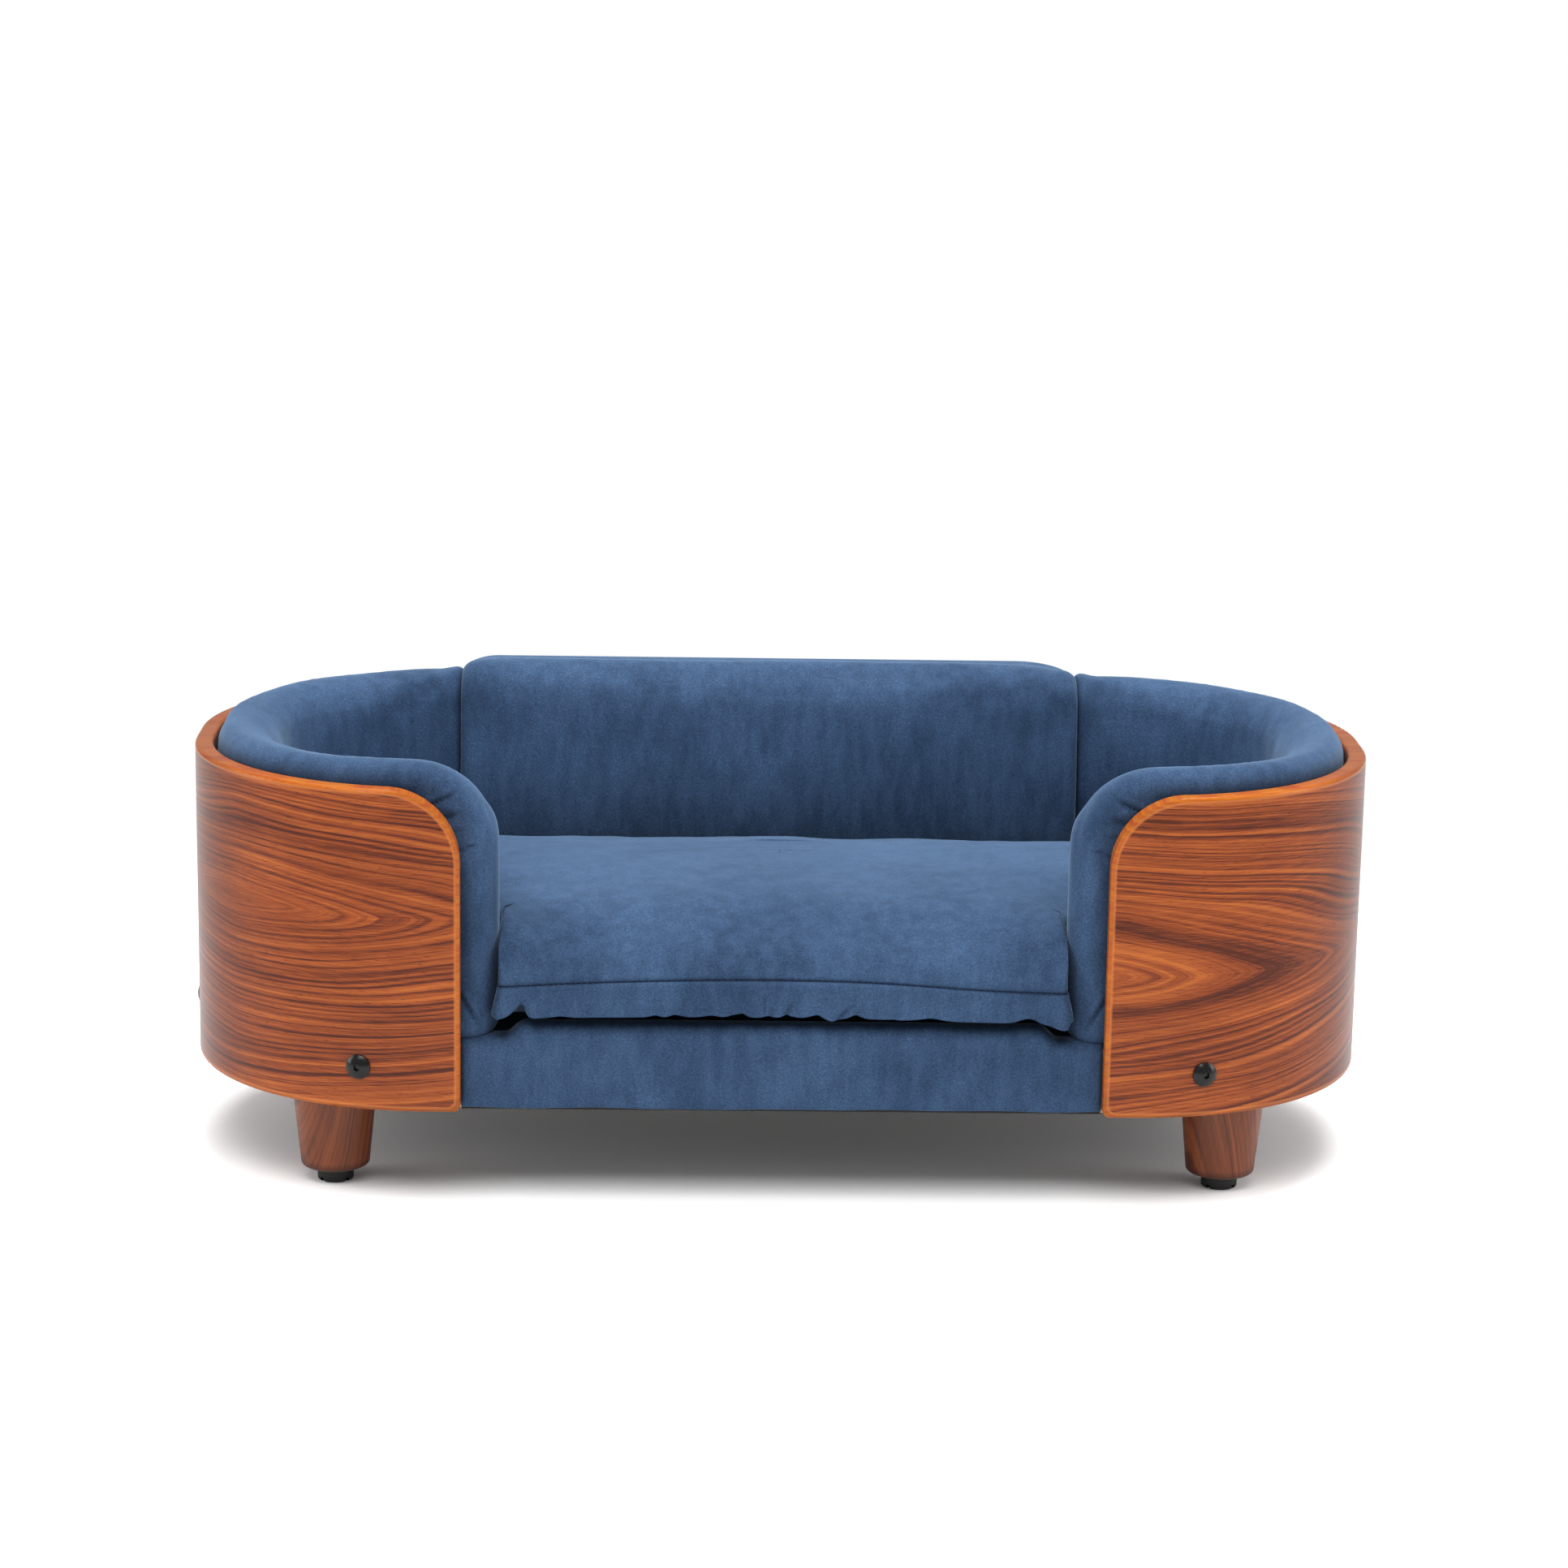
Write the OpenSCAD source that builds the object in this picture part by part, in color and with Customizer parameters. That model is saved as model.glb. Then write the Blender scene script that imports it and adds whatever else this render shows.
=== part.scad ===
// Small dog sofa: two bent-ply end shells bolted round an upholstered base, with curved arm
// pads, a taller back pad, a loose seat cushion and four turned legs on screw-in feet.
// Millimetres. Origin on the floor under the middle, +X to the sitter's left seen from the
// front, +Y to the back, +Z up.

/* [Overall] */
// Width over the two shells
overall_w = 760; // [720:5:960]
// Depth over the shells' straight ends
overall_d = 340; // [330:2:420]
// Height of the shells' lower edge above the floor
ground_gap = 64; // [58:1:90]

/* [Bent-ply shells] */
// Height of a shell
shell_h = 206; // [196:2:240]
// Thickness of the moulded plywood
ply_t = 12; // [9:1:15]
// Length of a shell's straight side, between its two bends
side_run = 28; // [16:1:48]
// Length of a shell's straight end, past its bend
end_run = 23; // [12:1:36]
// Radius of a shell's top front corner
front_corner_r = 48; // [20:1:60]
// Radius of a shell's top rear corner
rear_corner_r = 12; // [6:1:20]
// Radius of a shell's lower corners
low_corner_r = 5; // [3:0.5:10]
// Rounding of the rim and of the end edges
edge_r = 2.5; // [1:0.5:3.5]

/* [Base frame] */
// Height of the ribs and rails
frame_h = 36; // [32:1:44]
// Thickness of the plywood deck
deck_t = 5; // [4:0.5:12]
// Thickness of the cloth over the deck
deck_cloth_t = 1; // [0.6:0.1:2]
// Width of a curved end rib
rib_w = 66; // [62:1:72]
// Width of the front and rear rails
rail_w = 32; // [24:1:40]
// Length of the half lap that joins a rail to a rib
lap_l = 40; // [25:1:60]
// Width of the cross batten under the deck
batten_w = 40; // [25:1:60]
// Running clearance between the frame and the shells
frame_fit = 0.2; // [0.1:0.05:0.4]
// Thickness of the padded cloth over the base's front
apron_t = 2.5; // [1.5:0.25:4]
// Thickness of the dust cover under the base
dust_t = 0.8; // [0.4:0.1:1.5]

/* [Arm pads] */
// How far the thickest part of a pad stands in from a shell's inner face
pad_t = 42; // [34:1:48]
// How far a pad's top stands above the rim
pad_rise = 16; // [8:1:24]
// How far a pad's nose reaches past the shell's front end
nose_reach = 23; // [18:1:26]
// Radius of the nose's top corner seen from the front
nose_top_r = 54; // [30:1:60]
// Radius of the nose's lower corner seen from the front
nose_low_r = 13; // [8:1:20]
// How far the nose swells forward past the shell's inner face
nose_swell = 5; // [2:0.5:7]
// Swell of a pad's inner face
pad_crown = 3; // [1:0.5:5]
// Thickness of the bent liner that carries a pad's foam
backer_t = 3; // [2:0.5:4]
// Diameter of a push stud's barrel
stud_d = 8; // [6:0.5:10]

/* [Back pad] */
// How far the back pad reaches past the shells' rear ends, at each side
back_lap = 9.5; // [4:0.5:14]
// How far the back pad's top stands above the rim
back_rise = 30; // [22:1:40]
// Thickness of the back pad at seat level
back_low_t = 61; // [50:1:66]
// Thickness of the back pad near its top
back_top_t = 44; // [34:1:52]
// Radius of the back pad's top corners seen from the front
back_corner_r = 20; // [10:1:30]
// Thickness of the back board
board_t = 10; // [8:0.5:10.5]
// Thickness of the cloth on the back board's rear
rear_cloth_t = 1.3; // [0.8:0.1:1.4]

/* [Seat cushion] */
// Height of the cushion at the shoulder where its top turns down
seat_h = 77; // [60:1:90]
// Extra height of the crown in the middle
seat_crown = 7; // [2:1:14]
// Height of the sewn seam above the cushion's underside, at the ends of the front edge
seam_h = 36; // [26:1:44]
// Rise of that seam at the middle of the front edge
seam_arch = 6; // [0:1:10]
// Width of the roll that joins the sides to the top
roll_w = 42; // [24:1:50]
// Distance of the cushion's front edge behind the shells' front faces
seat_setback = 10; // [6:1:20]
// Clearance between the cushion and the pads round it
seat_gap = 2; // [1.5:0.25:4]
// Height of the foam block inside the cushion
foam_h = 52; // [36:1:56]

/* [Legs and feet] */
// Angle of a leg round the bend, from the side
leg_angle = 57; // [45:1:65]
// Diameter of a leg's top
leg_top_d = 54; // [44:1:56]
// Diameter of a leg's lower end
leg_low_d = 44; // [36:1:50]
// Height of the leg's lower end above the floor
leg_lift = 10; // [9:0.5:14]
// Diameter of a levelling foot
foot_d = 23; // [19:0.5:28]
// Diameter of a foot's threaded stem
stem_d = 6; // [5:0.5:8]
// Length of a foot's threaded stem
stem_l = 27; // [22:1:32]

/* [Fixings] */
// Height of the shell bolts above the shells' lower edge
bolt_h = 28; // [20:0.5:28]
// Angle of the front and rear shell bolts round the bend, from the sides
bolt_angle = 75; // [66:1:84]
// Diameter of a shell bolt's flanged head
bolt_head_d = 15.6; // [12:0.2:18]
// Diameter of a shell bolt's shank
bolt_d = 6; // [5:0.5:8]
// Length of a shell bolt's shank
bolt_l = 34; // [28:1:40]
// Diameter of the hanger bolts in the legs
hanger_d = 8; // [6:1:10]
// Diameter of the wood screws' shanks
screw_d = 3.8; // [3:0.2:5]

/* [Hidden] */
$fn = 96;

// Colours
walnut = [0.62, 0.30, 0.17];
dark_walnut = [0.38, 0.18, 0.11];
pale_ply = [0.80, 0.66, 0.46];
blue_cloth = [0.22, 0.35, 0.54];
foam_white = [0.90, 0.88, 0.80];
black_steel = [0.08, 0.08, 0.09];
zinc = [0.70, 0.71, 0.72];
black_cloth = [0.10, 0.10, 0.10];

// One overrun serves every cut
overrun = 1;
// Clearance under and beside the soft pieces
soft_gap = 0.4;

// Plan of the shells
half_w = overall_w / 2;
half_d = overall_d / 2;
arc_y = side_run / 2;
plan_r = half_d - arc_y;
arc_x = half_w - plan_r;
mouth_x = arc_x - end_run;
mouth_w = 2 * mouth_x;

// Levels
shell_z = ground_gap;
rim_z = shell_z + shell_h;
frame_top = shell_z + frame_h;
deck_top = frame_top + deck_t;
cloth_top = deck_top + deck_cloth_t;
frame_mid = shell_z + frame_h / 2;
bolt_z = shell_z + bolt_h;

// Frame
frame_inset = ply_t + frame_fit;
frame_face = half_d - frame_inset;
rib_end_x = mouth_x - lap_l;
end_gap = 0.6;
frame_w = mouth_w - 2 * end_gap;
rib_mid_r = plan_r - frame_inset - rib_w / 2;
rail_mid_y = frame_face - rail_w / 2;
dust_inset = frame_inset + 1;

// Arm pads: insets are measured in from the shells' outer face
pad_low = cloth_top + soft_gap;
pad_high = rim_z + pad_rise;
pad_h = pad_high - pad_low;
pad_out_inset = ply_t + soft_gap;
pad_in_inset = ply_t + pad_t;
pad_w = pad_in_inset - pad_crown - pad_out_inset;
pad_mid_inset = pad_out_inset + pad_w / 2;
nose_x = mouth_x - nose_reach;
nose_l = nose_reach;
pad_top_in_r = 22;
pad_top_out_r = 15;
pad_low_r = 8;
tip_flat = 0.8;
pad_end_r = 6;
pad_end_thin_share = 0.25;
pad_end_drop_share = 0.5;
liner_low = pad_low + pad_low_r;
liner_high = rim_z - pad_top_out_r;
liner_front = arc_x;
step_in = backer_t + frame_fit;
stud_angles = [-64, -22, 22, 64];
stud_level_shares = [0.22, 0.78];
stud_head_share = 1.75;
stud_head_d = stud_d * stud_head_share;
stud_head_t = backer_t / 2;
stud_depth_share = 0.6;
stud_depth = ply_t * stud_depth_share;
stud_fit = 0.1;

// Back pad
back_x = mouth_x + back_lap;
back_low = cloth_top + soft_gap;
back_high = rim_z + back_rise;
back_rear_y = frame_face - soft_gap;
board_top = rim_z + back_rise / 2;
board_rear_y = frame_face + board_t;
back_cap_y = board_rear_y;
back_top_front_r = 22;
back_top_rear_r = 7;
back_low_front_r = 9;
back_end_r = 9;
back_crown = 3;
board_corner_share = 0.75;
board_corner_r = back_corner_r * board_corner_share;

// Seat cushion
seat_low = cloth_top + soft_gap;
seat_inset = pad_in_inset + seat_gap;
seat_arc_r = plan_r - seat_inset;
seat_front_y = -(half_d - seat_setback);
seat_rear_y = back_rear_y - back_low_t - back_crown - seat_gap;
seat_front_x = nose_x - seat_gap;
seat_corner_r = 15;
nose_mid_x = nose_x + nose_l;
nose_mid_y = -(half_d - (pad_in_inset + pad_out_inset) / 2);
nose_half_t = (pad_in_inset - pad_out_inset) / 2;
nose_join_angle = 88;
seat_corner_angle = 78;
rear_join_angle = 4;
seat_low_r = 11;
hem_tuck = 13;
seat_tuck_y = seat_front_y + 2 * seat_corner_r;
seat_middle_y = seat_rear_y / 4;
seat_inner_share = 0.34;
seam_dip = 1.6;
foam_share = 0.78;
underside_t = 1;

// Legs and feet
leg_x = arc_x + rib_mid_r * cos(leg_angle);
leg_y = arc_y + rib_mid_r * sin(leg_angle);
leg_top = shell_z - dust_t;
leg_edge_r = 3;
leg_socket_l = 26;
insert_flange_t = 1.2;
insert_flange_share = 3;
insert_flange_d = stem_d * insert_flange_share;
insert_wall = 1.5;
insert_d = stem_d + 2 * insert_wall;
insert_l = 12;
thread_fit = 0.075;
foot_seat = 0.3;
foot_top = leg_lift - insert_flange_t - foot_seat;
foot_edge_r = 1.5;
stem_clear = 0.6;
stem_spare = 4;
stem_bore_l = stem_l + stem_spare;
notch_w = 3.2;
notch_h = 2.6;
notch_depth = 3;

// Fixings
bolt_flange_t = 1.1;
bolt_dome_h = 2.9;
socket_w = 4;
socket_depth = 2.2;
bolt_hole_fit = 0.25;
shell_insert_wall = 2;
shell_insert_d = bolt_d + 2 * shell_insert_wall;
shell_insert_l = 14;
insert_recess = 0.25;
hanger_up = 30;
tee_flange_share = 2.7;
tee_flange_d = hanger_d * tee_flange_share;
tee_flange_t = 1.5;
tee_wall = 1.2;
tee_barrel_d = hanger_d + 2 * tee_wall;
tee_barrel_l = 10;
hanger_fit = 0.5;
deck_screw_l = 26;
back_screw_l = 32;
screw_head_share = 1.9;
screw_tip_share = 0.25;
deck_screw_angles = [-80, 0, 80];
rail_screw_share = 0.19;
rail_screw_x = mouth_w * rail_screw_share;
back_screw_shares = [-0.32, -0.15, 0.15, 0.32];

// Shares of a quarter circle: 0 at the edge, 1 from r inwards
function round_share(d, r) = d >= r ? 1 : sqrt(1 - pow(1 - max(d, 0) / r, 2));

// Points of an arc, both ends included
function arc(c, r, a0, a1, n) =
    [for (i = [0:n - 1]) let (a = a0 + (a1 - a0) * i / (n - 1)) [c[0] + r * cos(a), c[1] + r * sin(a)]];

// Triangles of a skin over closed rings of n points, with both ends capped
function ring_faces(rings, n) = concat(
    [[for (i = [0:n - 1]) i]],
    [for (k = [0:rings - 2], i = [0:n - 1])
        each let (a = k * n + i, b = k * n + (i + 1) % n) [[a, a + n, b + n], [a, b + n, b]]],
    [[for (i = [0:n - 1]) rings * n - 1 - i]]);

// Outline of everything that follows the shells: a rectangle with true arcs at its corners
module plan(inset) {
    square([overall_w - 2 * inset, 2 * arc_y], center = true);
    square([2 * arc_x, overall_d - 2 * inset], center = true);
    for (sx = [-1, 1], sy = [-1, 1])
        translate([sx * arc_x, sy * arc_y]) circle(plan_r - inset);
}

// Puts a piece on the right-hand shell's wall, its own +Z along the wall's outward normal.
// The angle is 0 at the side, negative to the front.
module on_wall(a, inset, z) {
    translate([
        arc_x + (plan_r - inset) * cos(a),
        sign(a) * arc_y + (plan_r - inset) * sin(a),
        z])
        rotate([0, 0, a]) rotate([0, 90, 0]) children();
}

// What lies outside a rounded corner, for a corner at the origin that opens along +X +Y
module corner_waste(r) {
    difference() {
        translate([-overrun, -overrun]) square(r + overrun);
        translate([r, r]) circle(r);
    }
}

// Section through the moulded ply, with its rounded rim
module wall_section() {
    translate([edge_r, 0]) square([ply_t - 2 * edge_r, shell_h]);
    translate([0, edge_r]) square([ply_t, shell_h - 2 * edge_r]);
    for (x = [edge_r, ply_t - edge_r], z = [edge_r, shell_h - edge_r])
        translate([x, z]) circle(edge_r);
}

// The right-hand shell before its ends are shaped
module shell_wall() {
    for (sy = [-1, 1])
        translate([arc_x, sy * arc_y, shell_z])
            rotate([0, 0, sy > 0 ? 0 : -90])
                rotate_extrude(angle = 90) translate([plan_r - ply_t, 0]) wall_section();
    translate([half_w - ply_t, arc_y, shell_z])
        rotate([90, 0, 0]) linear_extrude(2 * arc_y) wall_section();
    for (y = [-half_d, half_d - ply_t])
        translate([mouth_x, y, shell_z])
            rotate([90, 0, 90]) linear_extrude(arc_x - mouth_x) wall_section();
}

// Rounds the corners of one end of the shell, seen from the front or the back
module end_corner_cuts(side, top_r) {
    y = side > 0 ? half_d + overrun : overrun - half_d + 3 * ply_t;
    translate([mouth_x, y, shell_z])
        rotate([90, 0, 0]) linear_extrude(3 * ply_t + 2 * overrun) corner_waste(low_corner_r);
    translate([mouth_x, y, rim_z])
        rotate([90, 0, 0]) linear_extrude(3 * ply_t + 2 * overrun)
            mirror([0, 1]) corner_waste(top_r);
}

// Rounds the two upright edges of one end of the shell
module end_edge_cuts(side) {
    for (y = [half_d, half_d - ply_t])
        translate([mouth_x, side * y, shell_z - overrun])
            linear_extrude(shell_h + 2 * overrun)
                mirror([0, (y == half_d) == (side > 0) ? 1 : 0]) corner_waste(edge_r);
}

module shell() {
    color(walnut) difference() {
        shell_wall();
        end_corner_cuts(-1, front_corner_r);
        end_corner_cuts(1, rear_corner_r);
        end_edge_cuts(-1);
        end_edge_cuts(1);
        for (a = [-bolt_angle, 0, bolt_angle])
            on_wall(a, ply_t + overrun, bolt_z)
                cylinder(h = ply_t + 2 * overrun, d = bolt_d + 2 * bolt_hole_fit);
        for (a = stud_angles, level = stud_level_shares)
            on_wall(a, ply_t + overrun, stud_z(level))
                cylinder(h = stud_depth + overrun, d = stud_d + 2 * stud_fit);
    }
}

// Height of a row of push studs
function stud_z(level) = liner_low + level * (liner_high - liner_low);

module shell_right() {
    shell();
}

module shell_left() {
    mirror([1, 0, 0]) shell();
}

// A curved end rib: it follows the shell's inner face and laps the rails at both ends
module end_rib() {
    lap_z = frame_mid;
    color(pale_ply) difference() {
        translate([0, 0, shell_z]) linear_extrude(frame_h) difference() {
            plan(frame_inset);
            plan(frame_inset + rib_w);
            translate([-half_w - overrun, -half_d])
                square([half_w + rib_end_x + overrun, overall_d]);
        }
        for (sy = [-1, 1])
            translate([rib_end_x - overrun, sy * rail_mid_y - (rail_w + overrun) / 2, lap_z])
                cube([lap_l + overrun, rail_w + overrun, frame_h]);
        for (a = [-bolt_angle, 0, bolt_angle])
            on_wall(a, frame_inset - overrun, bolt_z) mirror([0, 0, 1]) {
                cylinder(h = shell_insert_l + overrun, d = shell_insert_d);
                cylinder(h = bolt_l, d = bolt_d + 2 * bolt_hole_fit);
            }
        for (sy = [-1, 1])
            translate([leg_x, sy * leg_y, 0]) {
                translate([0, 0, shell_z - overrun])
                    cylinder(h = frame_h + 2 * overrun, d = hanger_d + 2 * hanger_fit);
                translate([0, 0, frame_top - tee_flange_t - tee_barrel_l])
                    cylinder(h = tee_barrel_l + tee_flange_t + overrun, d = tee_barrel_d);
                translate([0, 0, frame_top - tee_flange_t])
                    cylinder(h = tee_flange_t + overrun, d = tee_flange_d);
            }
        for (a = deck_screw_angles) rib_screw_place(a) screw(deck_screw_l);
    }
}

// A deck screw's place over the middle of the rib
module rib_screw_place(a) {
    translate([arc_x + rib_mid_r * cos(a), sign(a) * arc_y + rib_mid_r * sin(a), deck_top])
        children();
}

module end_rib_right() {
    end_rib();
}

module end_rib_left() {
    mirror([1, 0, 0]) end_rib();
}

// A straight rail, half lapped over the ribs at both ends
module rail(side) {
    color(pale_ply) difference() {
        translate([-mouth_x, side * rail_mid_y - rail_w / 2, shell_z])
            cube([mouth_w, rail_w, frame_h]);
        for (sx = [-1, 1])
            translate([sx * (mouth_x - lap_l / 2 + overrun / 2) - (lap_l + overrun) / 2,
                side * rail_mid_y - rail_w / 2 - overrun, shell_z - overrun])
                cube([lap_l + overrun, rail_w + 2 * overrun, frame_h / 2 + overrun]);
        for (sx = [-1, 1])
            translate([sx * rail_screw_x, side * rail_mid_y, deck_top]) screw(deck_screw_l);
        if (side > 0) back_screw_places() screw(back_screw_l);
    }
}

module front_rail() {
    rail(-1);
}

module rear_rail() {
    rail(1);
}

module cross_batten() {
    l = 2 * (frame_face - rail_w);
    color(pale_ply) difference() {
        translate([-batten_w / 2, -l / 2, shell_z]) cube([batten_w, l, frame_h]);
        translate([0, 0, deck_top]) screw(deck_screw_l);
    }
}

// Every place of a deck screw
module deck_screw_places() {
    for (sx = [0, 1], a = deck_screw_angles) mirror([sx, 0, 0]) rib_screw_place(a) children();
    for (sx = [-1, 1], sy = [-1, 1])
        translate([sx * rail_screw_x, sy * rail_mid_y, deck_top]) children();
    translate([0, 0, deck_top]) children();
}

module deck_board() {
    color(pale_ply) difference() {
        translate([0, 0, frame_top]) linear_extrude(deck_t) plan(frame_inset);
        deck_screw_places() screw(deck_screw_l);
    }
}

// Cloth stretched over the deck, under the loose cushion
module deck_cloth() {
    color(blue_cloth) translate([0, 0, deck_top]) linear_extrude(deck_cloth_t) plan(frame_inset);
}

// A countersunk wood screw that hangs down from the origin, also used to cut its own hole
module screw(l) {
    head_d = screw_d * screw_head_share;
    head_t = (head_d - screw_d) / 2;
    translate([0, 0, -head_t]) cylinder(h = head_t, d1 = screw_d, d2 = head_d);
    translate([0, 0, screw_d - l]) cylinder(h = l - screw_d - head_t, d = screw_d);
    translate([0, 0, -l]) cylinder(h = screw_d, d1 = screw_d * screw_tip_share, d2 = screw_d);
}

module deck_screws() {
    color(zinc) deck_screw_places() screw(deck_screw_l);
}

// Places of the screws that hold the back board to the rear rail
module back_screw_places() {
    for (share = back_screw_shares)
        translate([share * mouth_w, board_rear_y, frame_mid]) rotate([-90, 0, 0]) children();
}

module back_screws() {
    color(zinc) back_screw_places() screw(back_screw_l);
}

// Padded cloth over the front of the base, its top edge rounded
module front_apron() {
    h = cloth_top - shell_z;
    color(blue_cloth) translate([-frame_w / 2, -frame_face - apron_t, shell_z])
        rotate([90, 0, 90]) linear_extrude(frame_w) {
            square([apron_t, h - apron_t]);
            intersection() {
                translate([0, h - apron_t]) square(apron_t);
                translate([apron_t, h - apron_t]) circle(apron_t);
            }
        }
}

module dust_cover() {
    color(black_cloth) difference() {
        translate([0, 0, leg_top]) linear_extrude(dust_t) plan(dust_inset);
        for (sx = [-1, 1], sy = [-1, 1])
            translate([sx * leg_x, sy * leg_y, leg_top - overrun])
                cylinder(h = dust_t + 2 * overrun, d = hanger_d + 2 * hanger_fit);
    }
}

// Upright panel between the rear ends of the shells, its top corners rounded
module back_panel(t, high) {
    rotate([90, 0, 0]) linear_extrude(t) difference() {
        translate([-frame_w / 2, shell_z]) square([frame_w, high - shell_z]);
        for (m = [0, 1]) mirror([m, 0])
            translate([-frame_w / 2, high]) mirror([0, 1]) corner_waste(board_corner_r);
    }
}

module back_board() {
    color(pale_ply) difference() {
        translate([0, board_rear_y, 0]) back_panel(board_t, board_top);
        back_screw_places() screw(back_screw_l);
    }
}

module rear_cloth() {
    color(blue_cloth)
        translate([0, board_rear_y + rear_cloth_t, 0]) back_panel(rear_cloth_t, board_top);
}

// Arm pad: stations along the wall, each [centre x, centre y, angle, from nose, from rear end]
far_off = overall_w;
nose_steps = [0, 0.06, 0.16, 0.3, 0.48, 0.7, 0.96, 1.3, 1.7, 2.2];
rear_steps = [6, 2.5, 1, 0.35, 0];
pad_rear_x = back_x + soft_gap;
arc_steps = 9;
front_run = arc_x - nose_x;
rear_run = arc_x - pad_rear_x;
nose_stations = [for (k = nose_steps) if (k * nose_l + tip_flat < front_run)
    [nose_x + k * nose_l, -arc_y, -90, k * nose_l + tip_flat, far_off]];
front_arc_stations = [for (i = [0:arc_steps])
    [arc_x, -arc_y, -90 + 90 * i / arc_steps, front_run + plan_r * i / arc_steps, far_off]];
rear_arc_stations = [for (i = [0:arc_steps])
    [arc_x, arc_y, 90 * i / arc_steps, far_off, rear_run + plan_r * (arc_steps - i) / arc_steps]];
rear_stations = [for (k = rear_steps) if (k * pad_end_r < rear_run)
    [pad_rear_x + k * pad_end_r, arc_y, 90, far_off, k * pad_end_r]];
arm_stations = concat(nose_stations, front_arc_stations, rear_arc_stations, rear_stations);

// Section of an arm pad, [distance in from its outer face, height], recessed for the liner
function arm_section(step) = concat(
    arc([step + pad_low_r, pad_low_r], pad_low_r, 180, 270, 3),
    arc([pad_w - pad_low_r, pad_low_r], pad_low_r, 270, 360, 4),
    [for (k = [1:3]) [pad_w, pad_low_r + k * (pad_h - pad_low_r - pad_top_in_r) / 4]],
    arc([pad_w - pad_top_in_r, pad_h - pad_top_in_r], pad_top_in_r, 0, 90, 7),
    arc([pad_top_out_r, pad_h - pad_top_out_r], pad_top_out_r, 90, 180, 5),
    [[0, liner_high + step_in - pad_low], [step, liner_high - pad_low]]);

// One ring of the arm pad in space
function arm_ring(s) = let (
    thick = round_share(s[3], nose_l)
        * (1 - (1 - round_share(s[4], pad_end_r)) * pad_end_thin_share),
    top_drop = nose_top_r * (1 - round_share(s[3], nose_top_r))
        + pad_end_r * (1 - round_share(s[4], pad_end_r)) * pad_end_drop_share,
    low_lift = nose_low_r * (1 - round_share(s[3], nose_low_r)),
    swell = nose_swell * max(0, 1 - s[3] / nose_l),
    stretch = (pad_h - top_drop - low_lift) / pad_h)
    [for (p = arm_section(s[3] < front_run ? 0 : step_in)) let (
        crown = p[0] > pad_w / 2 ? pad_crown * sin(180 * p[1] / pad_h) : 0,
        front = p[0] < pad_w / 2 ? swell * sin(180 * p[1] / pad_h) : 0,
        t = pad_mid_inset + (pad_out_inset + p[0] + crown - front - pad_mid_inset) * thick)
        [s[0] + (plan_r - t) * cos(s[2]), s[1] + (plan_r - t) * sin(s[2]),
            pad_low + low_lift + p[1] * stretch]];

module arm_pad() {
    color(blue_cloth) polyhedron(
        points = [for (s = arm_stations) each arm_ring(s)],
        faces = ring_faces(len(arm_stations), len(arm_section(0))),
        convexity = 6);
}

module arm_pad_right() {
    arm_pad();
}

module arm_pad_left() {
    mirror([1, 0, 0]) arm_pad();
}

// Bent liner behind an arm pad
module pad_liner() {
    color(pale_ply) difference() {
        translate([0, 0, liner_low]) linear_extrude(liner_high - liner_low) difference() {
            plan(frame_inset);
            plan(ply_t + backer_t);
            translate([-half_w, -half_d]) square([half_w + liner_front, half_d]);
            translate([-half_w, 0]) square([half_w + pad_rear_x, half_d]);
        }
        for (a = stud_angles, level = stud_level_shares)
            on_wall(a, ply_t + backer_t, stud_z(level)) pad_stud(stud_fit);
    }
}

module pad_liner_right() {
    pad_liner();
}

module pad_liner_left() {
    mirror([1, 0, 0]) pad_liner();
}

// Push stud, its head flush with the liner's inner face, grown by a clearance for its hole
module pad_stud(grow) {
    cylinder(h = stud_head_t, d = stud_head_d + 2 * grow);
    cylinder(h = backer_t + stud_depth, d = stud_d + 2 * grow);
}

module pad_studs() {
    color(black_steel)
        for (a = stud_angles, level = stud_level_shares)
            on_wall(a, ply_t + backer_t, stud_z(level)) pad_stud(0);
}

module pad_studs_right() {
    pad_studs();
}

module pad_studs_left() {
    mirror([1, 0, 0]) pad_studs();
}

// Back pad: its section is [y, height], its front leans back and its top caps the board
back_pad_h = back_high - back_low;
back_front_low = back_rear_y - back_low_t;
back_front_high = back_rear_y - back_top_t;
back_cap_h = board_top + soft_gap - back_low;
back_lean_steps = 4;
back_section = concat(
    [[back_rear_y, 0]],
    arc([back_front_low + back_low_front_r, back_low_front_r], back_low_front_r, 270, 180, 4),
    [for (k = [1:back_lean_steps]) let (share = k / (back_lean_steps + 1))
        [back_front_low + (back_front_high - back_front_low) * share,
            back_low_front_r + (back_pad_h - back_top_front_r - back_low_front_r) * share]],
    arc([back_front_high + back_top_front_r, back_pad_h - back_top_front_r],
        back_top_front_r, 180, 90, 7),
    arc([back_cap_y - back_top_rear_r, back_pad_h - back_top_rear_r], back_top_rear_r, 90, 0, 4),
    [[back_cap_y, back_cap_h], [back_rear_y, back_cap_h]]);
back_steps = [0, 0.1, 0.3, 0.6, 1, 1.5, 2.2, 3.4, 5.4, 8, 11, 14, 17, 20];
back_half_stations = [for (k = back_steps) if (k * back_end_r < back_x - back_end_r) k * back_end_r];
back_stations = concat(
    [for (d = back_half_stations) [-back_x + d, d]],
    [[0, back_x]],
    [for (i = [len(back_half_stations) - 1:-1:0])
        [back_x - back_half_stations[i], back_half_stations[i]]]);

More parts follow.
